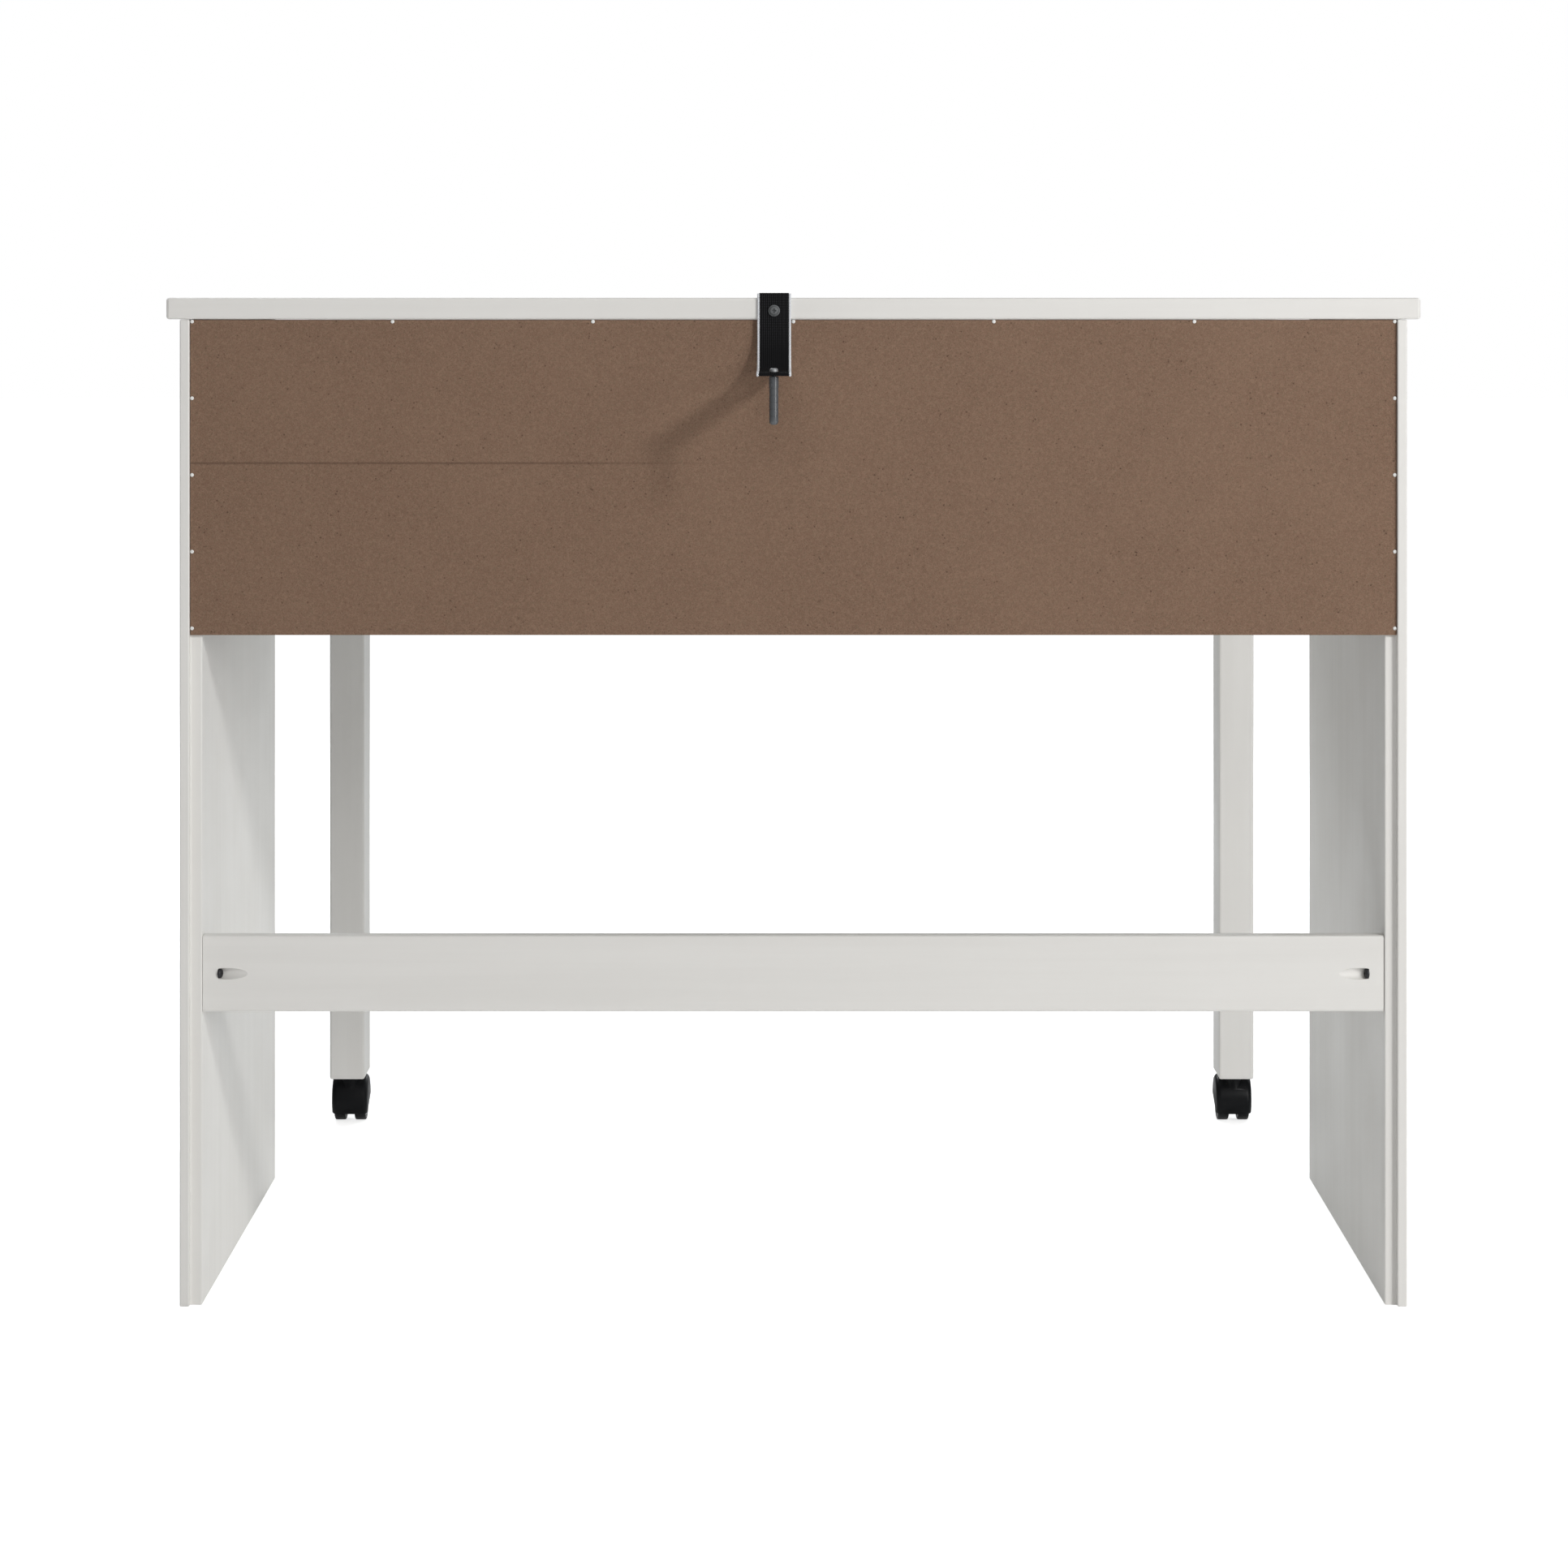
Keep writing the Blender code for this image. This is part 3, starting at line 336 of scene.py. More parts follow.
world = bpy.data.worlds.new("studioWorld")
bpy.context.scene.world = world
world.use_nodes = True
around = world.node_tree
background = around.nodes["Background"]
background.inputs["Color"].default_value = (1, 1, 1, 1)
rays = put(around, "LightPath")
brightness = put(around, "MapRange", {"From Min": 0, "From Max": 1,
                                      "To Min": studio["surround"],
                                      "To Max": studio["backdrop"]})
around.links.new(rays.outputs["Is Camera Ray"], brightness.inputs["Value"])
around.links.new(brightness.outputs["Result"], background.inputs["Strength"])
bpy.context.scene.view_settings.view_transform = "Standard"

clearSelection()
bpy.ops.mesh.primitive_plane_add(size=studio["floorSize"], location=(0, 0, 0))
floor = bpy.context.object
floor.name = "studioFloor"
floorPaint, _, floorShader = principled("floorPaint", studio["floorColour"],
                                           studio["floorRoughness"])
floorShader.inputs["Emission Color"].default_value = (1, 1, 1, 1)
floorTree = floorPaint.node_tree
floorRays = put(floorTree, "LightPath")
distance = put(floorTree, "VectorMath", operation="LENGTH")
floorTree.links.new(objectCoords(floorTree), distance.inputs[0])
whiteness = remap(floorTree, distance.outputs["Value"], *studio["glowFade"],
                  studio["floorGlow"], studio["farGlow"])
glow = put(floorTree, "MapRange", {"From Min": 0, "From Max": 1,
                                   "To Min": studio["floorBounce"]})
floorTree.links.new(whiteness, glow.inputs["To Max"])
floorTree.links.new(floorRays.outputs["Is Camera Ray"], glow.inputs["Value"])
floorTree.links.new(glow.outputs["Result"], floorShader.inputs["Emission Strength"])
floorShader.inputs["Specular IOR Level"].default_value = studio["floorShine"]
floor.data.materials.append(floorPaint)
print("camera, floor and light set")


# Finishes

# Grain: long soft streaks along one axis, with a little mottling
grainGroup, grainIn, grainOut = nodeGroup(
    "printedGrain",
    [("Vector", "NodeSocketVector", None), ("Stretch", "NodeSocketVector", (1, 1, 1))],
    [("Streaks", "NodeSocketFloat"), ("Mottle", "NodeSocketFloat"),
     ("Pores", "NodeSocketFloat")])
scaled = put(grainGroup, "VectorMath", operation="MULTIPLY")
grainGroup.links.new(grainIn.outputs["Vector"], scaled.inputs[0])
grainGroup.links.new(grainIn.outputs["Stretch"], scaled.inputs[1])
streaks = noiseOf(grainGroup, scaled.outputs[0], 60.0, 5.0, 0.6)
grainGroup.links.new(remap(grainGroup, streaks, 0.3, 0.7), grainOut.inputs["Streaks"])
mottle = noiseOf(grainGroup, grainIn.outputs["Vector"], 9.0, 2.0, 0.5)
grainGroup.links.new(remap(grainGroup, mottle, 0.3, 0.7), grainOut.inputs["Mottle"])
pores = noiseOf(grainGroup, scaled.outputs[0], 420.0, 2.0, 0.6)
grainGroup.links.new(remap(grainGroup, pores, 0.35, 0.65), grainOut.inputs["Pores"])

# Moulded skin: the fine speckled texture of a moulded or painted surface
skinGroup, skinIn, skinOut = nodeGroup(
    "mouldedSkin",
    [("Vector", "NodeSocketVector", None), ("Scale", "NodeSocketFloat", 900.0)],
    [("Speckle", "NodeSocketFloat"), ("Smudge", "NodeSocketFloat")])
speckle = put(skinGroup, "TexNoise", {"Detail": 2.0, "Roughness": 0.6})
skinGroup.links.new(skinIn.outputs["Vector"], speckle.inputs["Vector"])
skinGroup.links.new(skinIn.outputs["Scale"], speckle.inputs["Scale"])
skinGroup.links.new(speckle.outputs["Fac"], skinOut.inputs["Speckle"])
smudge = noiseOf(skinGroup, skinIn.outputs["Vector"], 35.0, 3.0, 0.55)
skinGroup.links.new(remap(skinGroup, smudge, 0.35, 0.7), skinOut.inputs["Smudge"])

boardLook = {
    "light": (0.800, 0.788, 0.762),
    "dark": (0.742, 0.728, 0.700),
    "plainRoughness": 0.45,
    "roughness": (0.40, 0.52),
    "streakShare": 0.45,
    "mottleShare": 0.2,
    "streakHeight": 0.6,
    "bump": 0.12,
    "bumpDepth": 0.00006,
    "lengthways": 0.035,  # how much the streaks are drawn out
}


def makeBoardFinish(name, stretch):
    material, tree, shader = principled(name, boardLook["light"],
                                        boardLook["plainRoughness"])
    grain = useGroup(tree, grainGroup, {"Stretch": stretch})
    tree.links.new(objectCoords(tree), grain.inputs["Vector"])
    share = math2(tree, "MULTIPLY", grain.outputs["Streaks"], boardLook["streakShare"])
    share = math2(tree, "ADD", share, math2(tree, "MULTIPLY", grain.outputs["Mottle"],
                                            boardLook["mottleShare"]))
    colour = mixColour(tree, share, boardLook["light"], boardLook["dark"])
    tree.links.new(colour, shader.inputs["Base Color"])
    low, high = boardLook["roughness"]
    tree.links.new(remap(tree, grain.outputs["Mottle"], 0, 1, low, high),
                   shader.inputs["Roughness"])
    height = math2(tree, "ADD", grain.outputs["Pores"],
                   math2(tree, "MULTIPLY", grain.outputs["Streaks"],
                         boardLook["streakHeight"]))
    bumpInto(tree, shader, height, boardLook["bump"], boardLook["bumpDepth"])
    return material


drawnOut = boardLook["lengthways"]
uprightBoard = makeBoardFinish("whiteFoilUpright", (1.0, 1.0, drawnOut))
longBoard = makeBoardFinish("whiteFoilLong", (drawnOut, 1.0, 1.0))
deepBoard = makeBoardFinish("whiteFoilDeep", (1.0, drawnOut, 1.0))

hardboardLook = {
    "base": (0.208, 0.125, 0.084),
    "pale": (0.310, 0.203, 0.138),
    "dark": (0.070, 0.040, 0.028),
    "green": (0.120, 0.112, 0.066),
    "creaseZ": 0.6253,
    "creaseHalf": 0.0012,
    "creaseEnds": (-0.02, -0.20),
    "fibreTurns": (0.3, 1.35, 2.4),
    "fibreLength": 0.42,  # less is longer
    "fibreShare": 0.42,
    "gritShare": 0.50,
    "greenShare": 0.34,
    "speckShare": 0.8,
    "cloudShare": 0.10,
    # painted shade: the crease line is darkened towards the dark colour by this share
    "creaseShadeShare": 0.55,
    "creaseHeight": 2.0,
    "shine": 0.25,
    "roughness": 0.80,
    "bump": 0.55,
    "bumpDepth": 0.00012,
}


def makeHardboardFinish():
    material, tree, shader = principled("brownHardboard", hardboardLook["base"],
                                        hardboardLook["roughness"])
    shader.inputs["Specular IOR Level"].default_value = hardboardLook["shine"]
    coords = objectCoords(tree)
    fibres = None
    for turn in hardboardLook["fibreTurns"]:  # short pressed fibres lie in every direction
        laid = stretched(tree, stretched(tree, coords, (1, 1, 1), (0, turn, 0)),
                         (1.0, 1.0, hardboardLook["fibreLength"]))
        strands = noiseOf(tree, laid, 950.0, 2.0, 0.6)
        fibres = strands if fibres is None else math2(tree, "MAXIMUM", fibres, strands)
    fibreMask = remap(tree, fibres, 0.50, 0.70)
    colour = mixColour(tree, math2(tree, "MULTIPLY", fibreMask, hardboardLook["fibreShare"]),
                       hardboardLook["base"], hardboardLook["pale"])
    grit = remap(tree, noiseOf(tree, coords, 1300.0, 2.0, 0.65), 0.46, 0.34)
    colour = mixColour(tree, math2(tree, "MULTIPLY", grit, hardboardLook["gritShare"]),
                       colour, hardboardLook["dark"])
    greenMask = remap(tree, noiseOf(tree, coords, 900.0, 2.0), 0.53, 0.68)
    colour = mixColour(tree, math2(tree, "MULTIPLY", greenMask, hardboardLook["greenShare"]),
                       colour, hardboardLook["green"])
    darkSpecks = put(tree, "TexVoronoi", {"Scale": 260.0, "Randomness": 1.0})
    tree.links.new(coords, darkSpecks.inputs["Vector"])
    darkMask = remap(tree, darkSpecks.outputs["Distance"], 0.24, 0.10)
    picked = remap(tree, noiseOf(tree, coords, 120.0, 1.0), 0.50, 0.64)
    colour = mixColour(tree, math2(tree, "MULTIPLY", darkMask,
                                   math2(tree, "MULTIPLY", picked,
                                         hardboardLook["speckShare"])),
                       colour, hardboardLook["dark"])
    cloud = remap(tree, noiseOf(tree, coords, 14.0, 3.0), 0.3, 0.7)
    colour = mixColour(tree, math2(tree, "MULTIPLY", cloud, hardboardLook["cloudShare"]),
                       colour, hardboardLook["pale"])
    axes = put(tree, "SeparateXYZ")
    tree.links.new(coords, axes.inputs[0])
    away = math2(tree, "ABSOLUTE", math2(tree, "SUBTRACT", axes.outputs["Z"],
                                         hardboardLook["creaseZ"]))
    crease = remap(tree, away, hardboardLook["creaseHalf"], 0.0)
    fade = remap(tree, axes.outputs["X"], *hardboardLook["creaseEnds"])
    crease = math2(tree, "MULTIPLY", crease, fade)
    # painted shade along the crease line, on top of its bump
    colour = mixColour(tree, math2(tree, "MULTIPLY", crease, hardboardLook["creaseShadeShare"]),
                       colour, hardboardLook["dark"])
    tree.links.new(colour, shader.inputs["Base Color"])
    height = math2(tree, "SUBTRACT", fibreMask, grit)
    height = math2(tree, "SUBTRACT", height,
                   math2(tree, "MULTIPLY", crease, hardboardLook["creaseHeight"]))
    bumpInto(tree, shader, height, hardboardLook["bump"], hardboardLook["bumpDepth"])
    return material


hardboard = makeHardboardFinish()

skinLook = {
    "smudgedRoughness": (0.8, 1.3),  # shares of a finish's own roughness
    "bumpDepth": 0.00004,
}


def makeSkin(name, colour, roughness, speckle, metallic=1.0, bump=0.15, scale=700.0,
             shine=0.5):
    material, tree, shader = principled(name, colour, roughness, Metallic=metallic)
    shader.inputs["Specular IOR Level"].default_value = shine
    skin = useGroup(tree, skinGroup, {"Scale": scale})
    tree.links.new(objectCoords(tree), skin.inputs["Vector"])
    low, high = skinLook["smudgedRoughness"]
    tree.links.new(remap(tree, skin.outputs["Smudge"], 0, 1, roughness * low,
                         roughness * high), shader.inputs["Roughness"])
    darker = tuple(part * (1 - speckle) for part in colour)
    tree.links.new(mixColour(tree, skin.outputs["Speckle"], colour, darker),
                   shader.inputs["Base Color"])
    bumpInto(tree, shader, skin.outputs["Speckle"], bump, skinLook["bumpDepth"])
    return material


zincSteel = makeSkin("zincPlatedSteel", (0.60, 0.61, 0.62), 0.30, 0.25)
screwSteel = makeSkin("dullScrewSteel", (0.150, 0.155, 0.160), 0.55, 0.2, metallic=0.35,
                      bump=0.1, shine=0.3)
dullZinc = makeSkin("dullZinc", (0.40, 0.41, 0.42), 0.42, 0.2, metallic=0.6, bump=0.1)
blackSteel = makeSkin("blackenedSteel", (0.05, 0.05, 0.055), 0.38, 0.4, metallic=0.7)
nailPaint = makeSkin("whiteNailPaint", (0.82, 0.82, 0.80), 0.38, 0.05, metallic=0.0)
blackNylon = makeSkin("blackNylon", (0.0060, 0.0066, 0.0078), 0.46, 0.3, metallic=0.0,
                      bump=0.15, scale=1400.0, shine=0.14)
wheelNylon = makeSkin("blackWheelNylon", (0.0060, 0.0070, 0.0085), 0.32, 0.2, metallic=0.0,
                      bump=0.1, scale=1600.0, shine=0.18)
greyNylon = makeSkin("greyNylon", (0.115, 0.122, 0.128), 0.42, 0.25, metallic=0.0,
                     bump=0.25, scale=1100.0)
plugNylon = makeSkin("greyPlugNylon", (0.078, 0.084, 0.092), 0.22, 0.1, metallic=0.0,
                     bump=0.02, scale=900.0, shine=1.0)

# Weave: a checker of threads in the band's own layout, in millimetres
weaveGroup, weaveIn, weaveOut = nodeGroup(
    "webbingWeave",
    [("Vector", "NodeSocketVector", None), ("Rib", "NodeSocketFloat", 1.45),
     ("Pick", "NodeSocketFloat", 1.25)],
    [("Threads", "NodeSocketFloat"), ("Glints", "NodeSocketFloat"), ("Fuzz", "NodeSocketFloat")])
weaveAxes = put(weaveGroup, "SeparateXYZ")
weaveGroup.links.new(weaveIn.outputs["Vector"], weaveAxes.inputs[0])


def wavesAlong(axis, pitch):
    share = math2(weaveGroup, "DIVIDE", weaveAxes.outputs[axis], weaveIn.outputs[pitch])
    turn = math2(weaveGroup, "MULTIPLY", share, 2 * math.pi)
    return math2(weaveGroup, "COSINE", turn)


ribWaves = wavesAlong("X", "Rib")
pickWaves = wavesAlong("Y", "Pick")
weaveGroup.links.new(remap(weaveGroup, ribWaves, -1.0, 0.6), weaveOut.inputs["Threads"])
# painted glints: lighter spots on the weft crossings, where light catches them
glintWaves = math2(weaveGroup, "MULTIPLY", remap(weaveGroup, ribWaves, 0.3, 1.0),
                 remap(weaveGroup, pickWaves, 0.5, 1.0))
weaveGroup.links.new(glintWaves, weaveOut.inputs["Glints"])
weaveGroup.links.new(noiseOf(weaveGroup, weaveIn.outputs["Vector"], 4.0, 3.0, 0.6),
                     weaveOut.inputs["Fuzz"])


webbingLook = {
    # painted shade: the darker gap colour fills the grooves between the ribs; the fuzz also
    # darkens towards it
    "gap": (0.0025, 0.0025, 0.003),
    "thread": (0.013, 0.013, 0.014),
    # painted glints: the weft crossings drawn lighter where light catches them, fading out
    # between these distances along the band
    "glint": (0.070, 0.070, 0.075),
    "glintFade": (22, 50),  # millimetres along the band
    "glintLeft": 0.12,
    "fuzzShare": 0.4,
    "fuzzHeight": 0.8,
    "roughness": 0.85,
    "shine": 0.05,
    "bump": 0.5,
    "bumpDepth": 0.0001,
}


def makeWebbing(name):
    gap, thread = webbingLook["gap"], webbingLook["thread"]
    material, tree, shader = principled(name, thread, webbingLook["roughness"])
    shader.inputs["Specular IOR Level"].default_value = webbingLook["shine"]
    layout = put(tree, "UVMap")
    weave = useGroup(tree, weaveGroup)
    tree.links.new(layout.outputs["UV"], weave.inputs["Vector"])
    # painted shade in the grooves between the ribs
    colour = mixColour(tree, weave.outputs["Threads"], gap, thread)
    axes = put(tree, "SeparateXYZ")
    tree.links.new(layout.outputs["UV"], axes.inputs[0])
    # painted glints on the weft crossings, fading out along the band
    glintShowing = remap(tree, axes.outputs["Y"], *webbingLook["glintFade"], 1.0,
                    webbingLook["glintLeft"])
    glints = math2(tree, "MULTIPLY", weave.outputs["Glints"], glintShowing)
    colour = mixColour(tree, glints, colour, webbingLook["glint"])
    fuzz = math2(tree, "MULTIPLY", weave.outputs["Fuzz"], webbingLook["fuzzShare"])
    colour = mixColour(tree, fuzz, colour, gap)
    tree.links.new(colour, shader.inputs["Base Color"])
    height = math2(tree, "ADD", weave.outputs["Threads"],
                   math2(tree, "MULTIPLY", weave.outputs["Fuzz"], webbingLook["fuzzHeight"]))
    bumpInto(tree, shader, height, webbingLook["bump"], webbingLook["bumpDepth"])
    return material


blackWebbing = makeWebbing("blackWebbing")

cordLook = {
    "plain": (0.74, 0.75, 0.78),
    "shaded": (0.60, 0.62, 0.66),
    "lit": (0.84, 0.85, 0.87),
    "roughness": 0.7,
    "sheen": 0.2,
    "bump": 0.4,
    "bumpDepth": 0.00008,
}


def makeCordFinish():
    material, tree, shader = principled("paleEdgeCord", cordLook["plain"],
                                        cordLook["roughness"])
    shader.inputs["Sheen Weight"].default_value = cordLook["sheen"]
    coords = objectCoords(tree)
    fibres = noiseOf(tree, stretched(tree, coords, (1, 1, 0.3)), 2600.0, 2.0, 0.6)
    mask = remap(tree, fibres, 0.35, 0.65)
    tree.links.new(mixColour(tree, mask, cordLook["shaded"], cordLook["lit"]),
                   shader.inputs["Base Color"])
    bumpInto(tree, shader, mask, cordLook["bump"], cordLook["bumpDepth"])
    return material


paleCord = makeCordFinish()
print("finishes made")

for name, node in nodes.items():
    node.data.materials.clear()
    if name.startswith(("side_panel", "leg_")):
        finish = uprightBoard
    elif name.startswith(("top_panel", "rear_", "extension_leaf", "extension_front",
                          "extension_rear")):
        finish = longBoard
    elif name.startswith(("extension_side", "slide_spacer")):
        finish = deepBoard
    elif name == "back_panel":
        finish = hardboard
    elif name.startswith("back_nail"):
        finish = nailPaint
    elif name.startswith("stretcher_screw"):
        finish = blackSteel
    elif name.startswith(("caster_hood", "wheel_", "strap_ta")):
        finish = blackNylon
    elif name.startswith(("caster_socket", "wall_plug")):
        finish = greyNylon
    else:
        finish = zincSteel
    node.data.materials.append(finish)
print("frame pieces finished")


# Nails in the hardboard

nailLook = {
    "rings": [(0.0002, -0.0140), (0.0006, -0.0120), (0.0006, 0.0), (0.0014, 0.0),
              (0.00138, 0.00018), (0.00119, 0.00038), (0.00079, 0.00053),
              (0.0003, 0.0006)],
    "headHeight": 0.0006,
    "steps": 28,
}
firstNail = turned("whiteNail", nailLook["rings"], nailLook["steps"])
for name in sorted(nodes):
    if not name.startswith("back_nail"):
        continue
    low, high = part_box(name)
    nail = copyPiece(firstNail, "whiteNail" + name[-2:])
    aim(nail, ((low.x + high.x) / 2, low.y + nailLook["headHeight"], (low.z + high.z) / 2),
        (0, -1, 0))
    settle(nail)
    mount(nail, "table", nailPaint, "painted_nail", name)
bpy.data.objects.remove(firstNail, do_unlink=True)
print("nails set")


# Screws

bladeTaper = 0.55  # how much narrower a cross recess is at its bottom


def crossRecess(piece, reach, width, depth, top):  # cut by two crossed blades
    for turn in (0, math.pi / 2):
        blade = block("blade", (-reach, -width / 2, top - depth),
                      (reach, width / 2, top + depth))
        for corner in blade.data.vertices:
            if corner.co.z < 0:
                corner.co.x *= bladeTaper
        blade.rotation_euler.z = turn
        carve(piece, blade)


def makeScrew(name, look, place, direction):
    screw = turned(name, look["rings"], look["steps"])
    crossRecess(screw, *look["recess"], look["rings"][-1][1])
    aim(screw, place, direction)
    return settle(screw)


pocketScrew = {
    "rings": [(0.0004, -0.0250), (0.0016, -0.0228), (0.0016, -0.0002), (0.0036, 0.0),
              (0.0036, 0.0009), (0.0034, 0.0015), (0.0028, 0.0020), (0.0018, 0.0023),
              (0.0005, 0.0024)],
    "steps": 48,
    "recess": (0.0019, 0.0008, 0.0014),
    "angle": math.radians(17.0),
    "endDepth": 0.0057,  # of the screw's axis below the face, at the stretcher's end
    "seatIn": 0.0117,    # from the stretcher's end
    "gap": 0.0003,
}
stretcherLow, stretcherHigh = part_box("rear_stretcher")
for side, sign in sides:
    way = Vector((sign * math.cos(pocketScrew["angle"]), math.sin(pocketScrew["angle"]), 0))
    end = Vector((stretcherHigh.x * sign, stretcherLow.y + pocketScrew["endDepth"],
                  (stretcherLow.z + stretcherHigh.z) / 2))
    seat = end - way * (pocketScrew["seatIn"] / math.cos(pocketScrew["angle"])
                        + pocketScrew["gap"])
    screw = makeScrew("pocketScrew" + side.title(), pocketScrew, seat, -way)
    mount(screw, "table", blackSteel, "black_steel", "stretcher_screw_" + side)

washerScrew = {
    "rings": [(0.0004, -0.0250), (0.0018, -0.0225), (0.0018, 0.0), (0.0043, 0.0),
              (0.0043, 0.0006), (0.0040, 0.0009), (0.0035, 0.0010), (0.0033, 0.0008),
              (0.0032, 0.0014), (0.0029, 0.0018), (0.0022, 0.0020), (0.0005, 0.0020)],
    "steps": 64,
    "recess": (0.0020, 0.00085, 0.0015),
}
low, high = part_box("strap_screw")
screw = makeScrew("strapWasherScrew", washerScrew,
                  ((low.x + high.x) / 2, low.y + 0.0020, (low.z + high.z) / 2), (0, -1, 0))
mount(screw, "table", screwSteel, "zinc_steel", "strap_screw")

camLook = {
    "rings": [(0.0069, 0.0), (0.0074, 0.0005), (0.0074, 0.0108), (0.0072, 0.0112),
              (0.0062, 0.0112), (0.0060, 0.0109), (0.0010, 0.0109)],
    "steps": 64,
    "recess": (0.0036, 0.0012, 0.0025),
}
for side, sign in sides:
    for where in ("front", "rear"):
        cadName = "cam_lock_" + side + "_" + where
        low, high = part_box(cadName)
        bottom = Vector((high.x if sign > 0 else low.x, (low.y + high.y) / 2,
                         (low.z + high.z) / 2))
        cam = makeScrew("cam" + side.title() + where.title(), camLook, bottom, (-sign, 0, 0))
        mount(cam, "table", zincSteel, "zinc_steel", cadName)
print("screws and cam locks set")


# Wall strap: one band that runs down, bends outwards and is folded under at its end

strap = {
    "middleX": -0.0143,
    "topZ": 0.7516,
    "startY": -0.3465,
    "straight": 0.0261,
    "bendRadius": 0.0310,
    "slope": math.radians(0.5),
    "length": 0.154798,     # to the outside of the fold
    "foldRadius": 0.0007,
    "foldInset": 0.0013,
    "hem": 0.0158,
    "webWidth": 0.0218,
    "webThick": 0.0010,
    "ribPitch": 0.00145,
    "pickPitch": 0.00125,   # from one weft thread to the next
    "ribHeight": 0.00010,
    "pickHeight": 0.00007,
    "columns": 90,
    "rows": 380,
    "cordOffset": 0.01165,
    "cordRadius": 0.00052,
    "cordTwist": 0.00050,
    "cordPitch": 0.0021,
    "cordStep": 0.00028,
    "blendReach": 0.018,
    "cordInset": 0.0007,     # keeps the cords' ends inside the band
}


def strapPoint(distance):  # middle of the band before it is folded
    straight, radius = strap["straight"], strap["bendRadius"]
    bend = radius * (math.pi / 2 - strap["slope"])
    if distance <= straight:
        return Vector((0, strap["startY"], strap["topZ"] - distance)), Vector((0, 0, -1))
    angle = min(distance - straight, bend) / radius
    place = Vector((0, strap["startY"] - radius + radius * math.cos(angle),
                    strap["topZ"] - straight - radius * math.sin(angle)))
    way = Vector((0, -math.sin(angle), -math.cos(angle)))
    return place + way * max(0.0, distance - straight - bend), way


def upperSide(way):
    return Vector((0, way.z, -way.y))


def bandPoint(distance):  # place, direction and outer side, through the fold and back under
    reach, radius = strap["length"] - strap["foldInset"], strap["foldRadius"]
    if distance <= reach:
        place, way = strapPoint(distance)
        return place, way, upperSide(way)
    turn = (distance - reach) / radius
    if turn <= math.pi:
        place, way = strapPoint(reach)
        up = upperSide(way)
        side = up * math.cos(turn) + way * math.sin(turn)
        return (place - up * radius + side * radius,
                way * math.cos(turn) - up * math.sin(turn), side)
    place, way = strapPoint(reach - (distance - reach - math.pi * radius))
    up = upperSide(way)
    return place - up * 2 * radius, -way, -up


bandLength = (strap["length"] - strap["foldInset"] + math.pi * strap["foldRadius"]
              + strap["hem"])
hingeDistance = (strap["straight"]
                 + strap["bendRadius"] * (math.pi / 2 - strap["slope"]) / 2)
hingePlace, hingeWay = strapPoint(hingeDistance)
hingePlace.x = strap["middleX"]


def makeBand():
    clearSelection()
    bpy.ops.mesh.primitive_grid_add(x_subdivisions=strap["columns"],
                                    y_subdivisions=strap["rows"], size=1)
    band = bpy.context.object
    band.name = "webbingBand"
    flat = [(corner.co.x * strap["webWidth"], (corner.co.y + 0.5) * bandLength)
            for corner in band.data.vertices]
    pattern = band.data.uv_layers.active.data
    for loop in band.data.loops:  # the pattern is laid out in millimetres
        across, along = flat[loop.vertex_index]
        pattern[loop.index].uv = (across * 1000, along * 1000)
    for corner, (across, along) in zip(band.data.vertices, flat):
        place, way, side = bandPoint(along)
        rib = across / strap["ribPitch"]
        over = 1 if round(rib) % 2 else -1
        wave = math.cos(2 * math.pi * rib)
        pick = over * math.cos(2 * math.pi * along / strap["pickPitch"])
        relief = strap["ribHeight"] * wave + strap["pickHeight"] * pick * (0.5 + 0.5 * wave)
        corner.co = place + side * relief + Vector((strap["middleX"] + across, 0, 0))
    thicken = band.modifiers.new("thickness", "SOLIDIFY")
    thicken.thickness = strap["webThick"]
    thicken.offset = 0
    applyModifiers(band)
    return settle(band, 60)


def makeEdgeCords():
    steps = int(bandLength / strap["cordStep"])
    cords = []
    for edge in (-1, 1):
        for strand in (0, math.pi):
            curve = bpy.data.curves.new("edgeCord", "CURVE")
            curve.dimensions = "3D"
            curve.bevel_depth = strap["cordRadius"]
            curve.bevel_resolution = 2
            curve.use_fill_caps = True
            thread = curve.splines.new("POLY")
            thread.points.add(steps)
            for index, point in enumerate(thread.points):
                along = (strap["cordInset"] + (bandLength - 2 * strap["cordInset"])
                         * index / steps)
                place, way, side = bandPoint(along)
                twist = edge * 2 * math.pi * along / strap["cordPitch"] + strand
                place = place + side * strap["cordTwist"] * math.sin(twist)
                place.x = (strap["middleX"] + edge * strap["cordOffset"]
                           + strap["cordTwist"] * math.cos(twist))
                point.co = (*place, 1)
            cord = bpy.data.objects.new("edgeCord", curve)
            bpy.context.scene.collection.objects.link(cord)
            cords.append(cord)
    clearSelection()
    for cord in cords:
        cord.select_set(True)
    bpy.context.view_layer.objects.active = cords[0]
    bpy.ops.object.convert(target="MESH")
    bpy.ops.object.join()
    joined = bpy.context.object
    joined.name = "webbingEdgeCords"
    return settle(joined, 60)


webbingBand = makeBand()
edgeCords = makeEdgeCords()
for piece, finish in ((webbingBand, blackWebbing), (edgeCords, paleCord)):
    piece.data.materials.clear()
    piece.data.materials.append(finish)
    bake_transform(piece)
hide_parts("strap_tab", "strap_tail")
print("strap woven")


# Plug and its small screw near the strap's end

